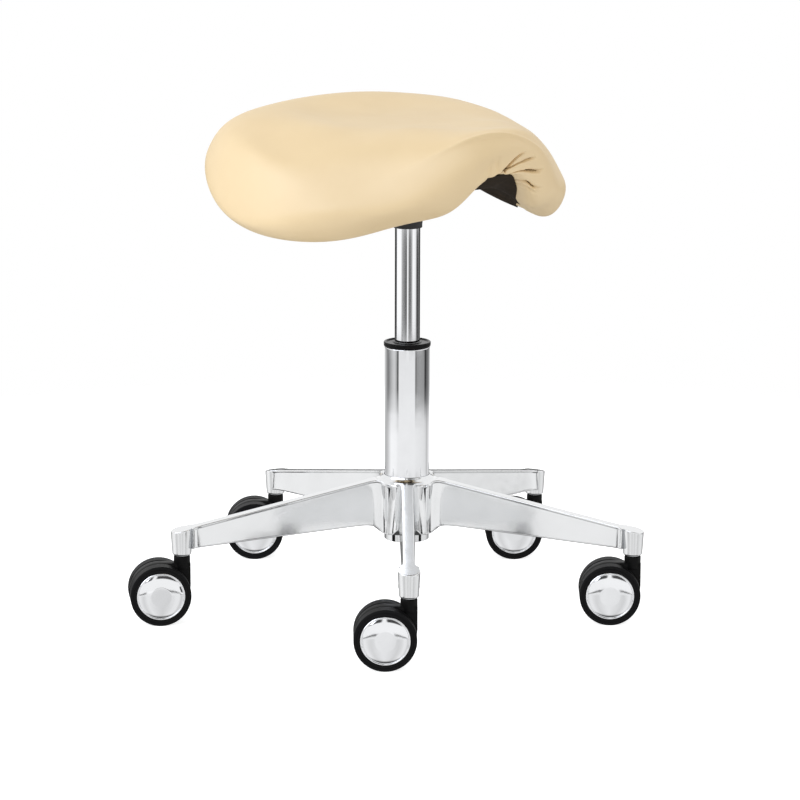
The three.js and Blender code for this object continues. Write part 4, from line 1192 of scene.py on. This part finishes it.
class STOOL_OT_fittings(bpy.types.Operator):
    """Finishes the frame's own small steel, wood and rubber pieces"""

    bl_idname = "stool.fittings"
    bl_label = "Fittings"

    def execute(self, context):
        finishes = {
            "zinc_steel": "zinc",
            "chromed_steel": "chrome",
            "polished_aluminium": "aluminium",
            "black_nylon": "nylon",
            "wheel_nylon": "tread",
            "black_paint": "paint",
            "bumper_rubber": "rubber",
            "beech_ply": "beech",
            "padding_foam": "leatherette",
            "cream_leatherette": "leatherette",
            "dust_cloth": "dust_cloth",
        }
        slots = {part["node"]: part["material_slot"] for part in frame["record"]["subparts"]}
        for name, shown in frame["nodes"].items():
            if shown.hide_render:
                continue
            shown.data.materials.clear()
            shown.data.materials.append(material(finishes[slots[name]]))
        return {"FINISHED"}


def add_area_light(name, direction, distance, size, watts, colour, mirrored, target):
    """A rectangular lamp in a direction from the target, facing it."""
    lamp = bpy.data.lights.new(name, "AREA")
    lamp.shape = "RECTANGLE"
    lamp.size, lamp.size_y = size
    lamp.energy = watts
    lamp.color = colour
    made = bpy.data.objects.new(name, lamp)
    bpy.context.scene.collection.objects.link(made)
    direction = np.asarray(direction, float)
    direction /= np.linalg.norm(direction)
    made.location = target + direction * distance
    back = type(made.location)(direction)
    made.rotation_euler = back.to_track_quat("Z", "Y").to_euler()
    made.visible_glossy = mirrored


def view_axes():
    """Right, away and up of the camera, level: away is the opposite of the camera's heading."""
    away = -np.array([math.cos(CAMERA_HEADING), math.sin(CAMERA_HEADING), 0])
    right = np.array([away[1], -away[0], 0])
    return right, away, np.array([0, 0, 1.0])


FLOOR_RADIUS = 1.3
FLOOR_EDGE = (0.3, 0.02)  # the floor fades out over this last stretch
FLOOR_SEEN = 0.48  # its glow for the camera alone
FLOOR_GLOW = 0.27  # its glow for every ray, which lights the object softly from below

# Each lamp: its direction as shares of right, away and up, distance, size, watts, colour, and whether
# it shows in reflections.
LAMPS = {
    "key": ((-0.75, -0.62, 0.6), 2.6, (3.0, 1.9), 43, (0.97, 1.01, 1.1), True),
    "fill": ((1.0, -0.15, 0.3), 2.8, (1.6, 1.6), 18, (1, 1, 1), False),
    "rim": ((-1.0, -0.1, 0.1), 2.8, (1.4, 1.4), 11, (0.94, 1.0, 1.14), False),
    "crest": ((0.15, 0.25, 1.0), 2.4, (0.8, 0.8), 7, (1, 1, 1), True),
}

# The studio as metal reflects it: brightness by the compass direction in degrees, 0 towards the camera
# and 90 to its right, in four tiers from the highest to the lowest.
LIFT_TONES = (
    (-180, 0.05), (-117, 0.06), (-109, 1.3), (-62, 1.3), (-47, 0.45), (-18, 0.17), (-6, 0.13), (-2, 1.15),
    (7, 1.15), (11, 0.2), (30, 0.2), (42, 0.6), (50, 1.25), (78, 1.1), (94, 0.1), (112, 0.06), (120, 0.3),
    (128, 0.06), (180, 0.05),
)
UPPER_TONES = (
    (-180, 0.9), (-153, 0.7), (-136, 0.48), (-120, 0.26), (-112, 0.23), (-98, 0.38), (-83, 0.6),
    (-70, 0.72), (-63, 0.64), (-56, 0.4), (-50, 0.08), (-46, 0.06), (-43.5, 0.95), (-38, 0.95),
    (39, 0.95), (43, 0.3), (46, 0.1), (50, 0.32), (70, 0.37), (98, 0.34), (102, 0.04), (111, 0.05),
    (118, 0.14), (135, 0.22), (150, 0.4), (180, 0.75),
)
LOWER_TONES = (
    (-180, 0.8), (-153, 0.62), (-130, 0.56), (-114, 0.72), (-90, 1.12), (-59, 1.1), (-48, 1.02),
    (-40, 1.0), (40, 1.0), (74, 0.94), (94, 0.9), (110, 0.83), (120, 0.6), (130, 0.68), (144, 0.98),
    (180, 0.8),
)
BASE_TONES = (
    (-180, 0.15), (-160, 0.25), (-138, 0.55), (-126, 0.75), (-107, 1.05), (-80, 1.1), (-62, 0.8),
    (-50, 0.72), (-38, 0.95), (-28, 0.95), (-12, 0.78), (0, 0.96), (14, 0.76), (28, 0.95), (38, 0.95),
    (50, 0.7), (65, 0.86), (91, 0.94), (110, 0.95), (126, 0.6), (150, 0.3), (180, 0.15),
)

# Soft borders in the studio: what each is measured on, where it is 0 and where it is 1.
BORDERS = {
    "base": ("height", -0.2255, -0.2285),
    "upper": ("height", -0.215, -0.2),
    "lift": ("height", -0.1895, -0.1875),
    "horizon": ("height", -0.03, -0.005),
    "over_lift": ("height", -0.156, -0.15),
    "in_front": ("towards", -0.75, -0.5),
    "below": ("height", -0.7, -0.85),
    "crescent_low": ("height", 0.23, 0.3),
    "crescent_high": ("height", 0.52, 0.55),
    "above_crescent": ("height", 0.6, 0.64),
    "camera_side": ("towards", 0.15, 0.4),
    "beside_strip": ("aside", 0.04, 0.12),
    "ceiling": ("height", 0.86, 0.94),
}
# Borders joined two by two. Behind the camera it is dark above, but for a narrow pale strip.
JOINED = (
    ("above_lift", "MULTIPLY", "over_lift", "in_front"),
    ("crescent", "SUBTRACT", "crescent_low", "crescent_high"),
    ("overhead", "ADD", "crescent", "above_crescent"),
    ("behind_camera", "MULTIPLY", "overhead", "camera_side"),
    ("dark_sides", "MULTIPLY", "behind_camera", "beside_strip"),
)
# What lies inside each border, from the first layer to the last.
LAYERS = (
    ("base", "base_tone"), ("upper", "upper_tone"), ("lift", "lift_tone"), ("horizon", "white"),
    ("above_lift", "white"), ("below", "dark"), ("dark_sides", "dark"), ("ceiling", "dark"),
)


class STOOL_OT_stage(bpy.types.Operator):
    """Builds the camera, the floor, the lamps and the world"""

    bl_idname = "stool.stage"
    bl_label = "Stage"

    def execute(self, context):
        scene = context.scene
        settings = scene.stool_stage
        right, away, up = view_axes()
        column = AXIS * MM
        camera = bpy.data.cameras.new("camera")
        camera.lens = settings.lens
        camera.sensor_width = 36
        held = bpy.data.objects.new("camera", camera)
        scene.collection.objects.link(held)
        held.location = column + settings.aside * right - settings.distance * away + settings.height * up
        look = math.cos(settings.pitch) * away - math.sin(settings.pitch) * up
        turn = type(held.location)(-look).to_track_quat("Z", "Y").to_euler()
        turn.rotate_axis("Z", settings.roll)
        held.rotation_euler = turn
        scene.camera = held

        scene.view_settings.view_transform = "Standard"
        self.world(scene, right, away)
        self.floor(scene, column, right, away)
        middle = column + np.array([0, 0, 0.4])
        for name, (direction, *rest) in LAMPS.items():
            add_area_light(name, np.array(direction) @ np.array([right, away, up]), *rest, middle)
        return {"FINISHED"}

    def world(self, scene, right, away):
        """White for the camera and soft grey light on the object. For reflections a studio whose
        brightness depends on the compass direction below the horizon, with a white wall above it and a
        dim ceiling."""
        world = bpy.data.worlds.new("studio")
        scene.world = world
        world.use_nodes = True
        tree = world.node_tree
        tree.nodes.clear()
        ray = node(tree, "ShaderNodeLightPath")
        direction = node(tree, "ShaderNodeTexCoord").outputs["Generated"]
        dots = {}
        for name, axis in (("sideways", right), ("towards", -away)):
            product = {"operation": "DOT_PRODUCT", 1: tuple(axis)}
            dots[name] = node(tree, "ShaderNodeVectorMath", product, i0=direction).outputs["Value"]
        angle = node(
            tree, "ShaderNodeMath", {"operation": "ARCTAN2"}, i0=dots["sideways"], i1=dots["towards"]
        ).outputs[0]
        compass = node(
            tree, "ShaderNodeMapRange", {"From Min": -math.pi, "From Max": math.pi}, Value=angle
        ).outputs[0]
        tones = {}
        for name, stops in (
            ("lift_tone", LIFT_TONES), ("upper_tone", UPPER_TONES), ("lower_tone", LOWER_TONES),
            ("base_tone", BASE_TONES),
        ):
            stops = {"stops": [((degrees + 180) / 360, tone) for degrees, tone in stops]}
            tones[name] = node(tree, "ShaderNodeValToRGB", stops, Fac=compass).outputs["Color"]
        for name, tone in (("white", 1.05), ("dark", 0.07)):
            tones[name] = node(tree, "ShaderNodeRGB").outputs[0]
            tones[name].default_value = (tone, tone, tone, 1)
        measures = {
            "height": node(tree, "ShaderNodeSeparateXYZ", Vector=direction).outputs["Z"],
            "towards": dots["towards"],
            "aside": node(tree, "ShaderNodeMath", {"operation": "ABSOLUTE"}, i0=angle).outputs[0],
        }
        masks = {}
        for name, (measure, low, high) in BORDERS.items():
            border = {"interpolation_type": "SMOOTHSTEP", "From Min": low, "From Max": high}
            masks[name] = node(
                tree, "ShaderNodeMapRange", border, Value=measures[measure]
            ).outputs[0]
        for name, operation, first, second in JOINED:
            masks[name] = node(
                tree, "ShaderNodeMath", {"operation": operation}, i0=masks[first], i1=masks[second]
            ).outputs[0]
        studio = tones["lower_tone"]
        for mask, tone in LAYERS:
            studio = node(
                tree, "ShaderNodeMix", {"data_type": "RGBA"}, Factor=masks[mask], A=studio, B=tones[tone]
            ).outputs["Result"]
        soft = node(
            tree, "ShaderNodeMix", {"data_type": "RGBA", "A": (0.6, 0.6, 0.6, 1)},
            Factor=ray.outputs["Is Glossy Ray"], B=studio,
        )
        seen = node(
            tree, "ShaderNodeMix", {"data_type": "RGBA", "B": (1, 1, 1, 1)},
            Factor=ray.outputs["Is Camera Ray"], A=soft.outputs["Result"],
        )
        background = node(tree, "ShaderNodeBackground", {"Strength": 1.0}, Color=seen.outputs["Result"])
        out = tree.nodes.new("ShaderNodeOutputWorld")
        tree.links.new(background.outputs[0], out.inputs[0])

    def floor(self, scene, column, right, away):
        """A round pale floor with a soft edge. It keeps the object's shadow and is white to the camera;
        reflections look past it to the world."""
        steps = 96
        angle = np.arange(steps) / steps * TURN
        rim = FLOOR_RADIUS * np.stack([np.cos(angle), np.sin(angle), 0 * angle], axis=-1)
        mesh = bpy.data.meshes.new("floor")
        mesh.from_pydata((rim + column).tolist(), [], [tuple(range(steps))])
        floor = bpy.data.objects.new("floor", mesh)
        scene.collection.objects.link(floor)
        made, tree, shader, place = new_material("pale_floor")
        shader.inputs["Base Color"].default_value = (0.8, 0.8, 0.8, 1)
        shader.inputs["Roughness"].default_value = 0.9
        shader.inputs["Specular IOR Level"].default_value = 0.1
        ray = node(tree, "ShaderNodeLightPath")
        glow = node(
            tree, "ShaderNodeMath", {"operation": "MULTIPLY_ADD", 1: FLOOR_SEEN, 2: FLOOR_GLOW},
            i0=ray.outputs["Is Camera Ray"],
        )
        tree.links.new(glow.outputs[0], shader.inputs["Emission Strength"])
        shader.inputs["Emission Color"].default_value = (1, 1, 1, 1)
        from_column = node(
            tree, "ShaderNodeVectorMath", {"operation": "DISTANCE", 1: tuple(column)}, i0=place
        )
        fade = {
            "interpolation_type": "SMOOTHSTEP",
            "From Min": FLOOR_RADIUS - FLOOR_EDGE[0],
            "From Max": FLOOR_RADIUS - FLOOR_EDGE[1],
        }
        edge = node(tree, "ShaderNodeMapRange", fade, Value=from_column.outputs["Value"])
        past = node(
            tree, "ShaderNodeMath", {"operation": "MAXIMUM"},
            i0=edge.outputs[0], i1=ray.outputs["Is Glossy Ray"],
        )
        clear = tree.nodes.new("ShaderNodeBsdfTransparent")
        faded = node(
            tree, "ShaderNodeMixShader", i0=past.outputs[0], i1=shader.outputs[0], i2=clear.outputs[0]
        )
        out = next(n for n in tree.nodes if n.bl_idname == "ShaderNodeOutputMaterial")
        tree.links.new(faded.outputs[0], out.inputs[0])
        mesh.materials.append(made)


class STOOL_PT_panel(bpy.types.Panel):
    """Lists the stool's pieces"""

    bl_label = "Saddle stool"
    bl_idname = "STOOL_PT_panel"
    bl_space_type = "VIEW_3D"
    bl_region_type = "UI"
    bl_category = "Stool"

    def draw(self, context):
        for group in (context.scene.stool_seat, context.scene.stool_metal, context.scene.stool_stage):
            for key in group.__annotations__:
                self.layout.prop(group, key)
        for operator in OPERATORS:
            self.layout.operator(operator.bl_idname)


SETTINGS = (StoolSeatSettings, StoolMetalSettings, StoolStageSettings)
OPERATORS = (
    STOOL_OT_stage,
    STOOL_OT_seat_cover,
    STOOL_OT_underside,
    STOOL_OT_lift,
    STOOL_OT_column,
    STOOL_OT_base,
    STOOL_OT_castors,
    STOOL_OT_lever,
    STOOL_OT_fittings,
)


def register():
    for cls in SETTINGS + OPERATORS + (STOOL_PT_panel,):
        bpy.utils.register_class(cls)
    bpy.types.Scene.stool_seat = bpy.props.PointerProperty(type=StoolSeatSettings)
    bpy.types.Scene.stool_metal = bpy.props.PointerProperty(type=StoolMetalSettings)
    bpy.types.Scene.stool_stage = bpy.props.PointerProperty(type=StoolStageSettings)


def unregister():
    for name in ("stool_seat", "stool_metal", "stool_stage"):
        delattr(bpy.types.Scene, name)
    for cls in reversed(SETTINGS + OPERATORS + (STOOL_PT_panel,)):
        bpy.utils.unregister_class(cls)


def main():
    register()
    for operator in OPERATORS:
        group, name = operator.bl_idname.split(".")
        getattr(getattr(bpy.ops, group), name)()


if __name__ == "__main__":
    main()
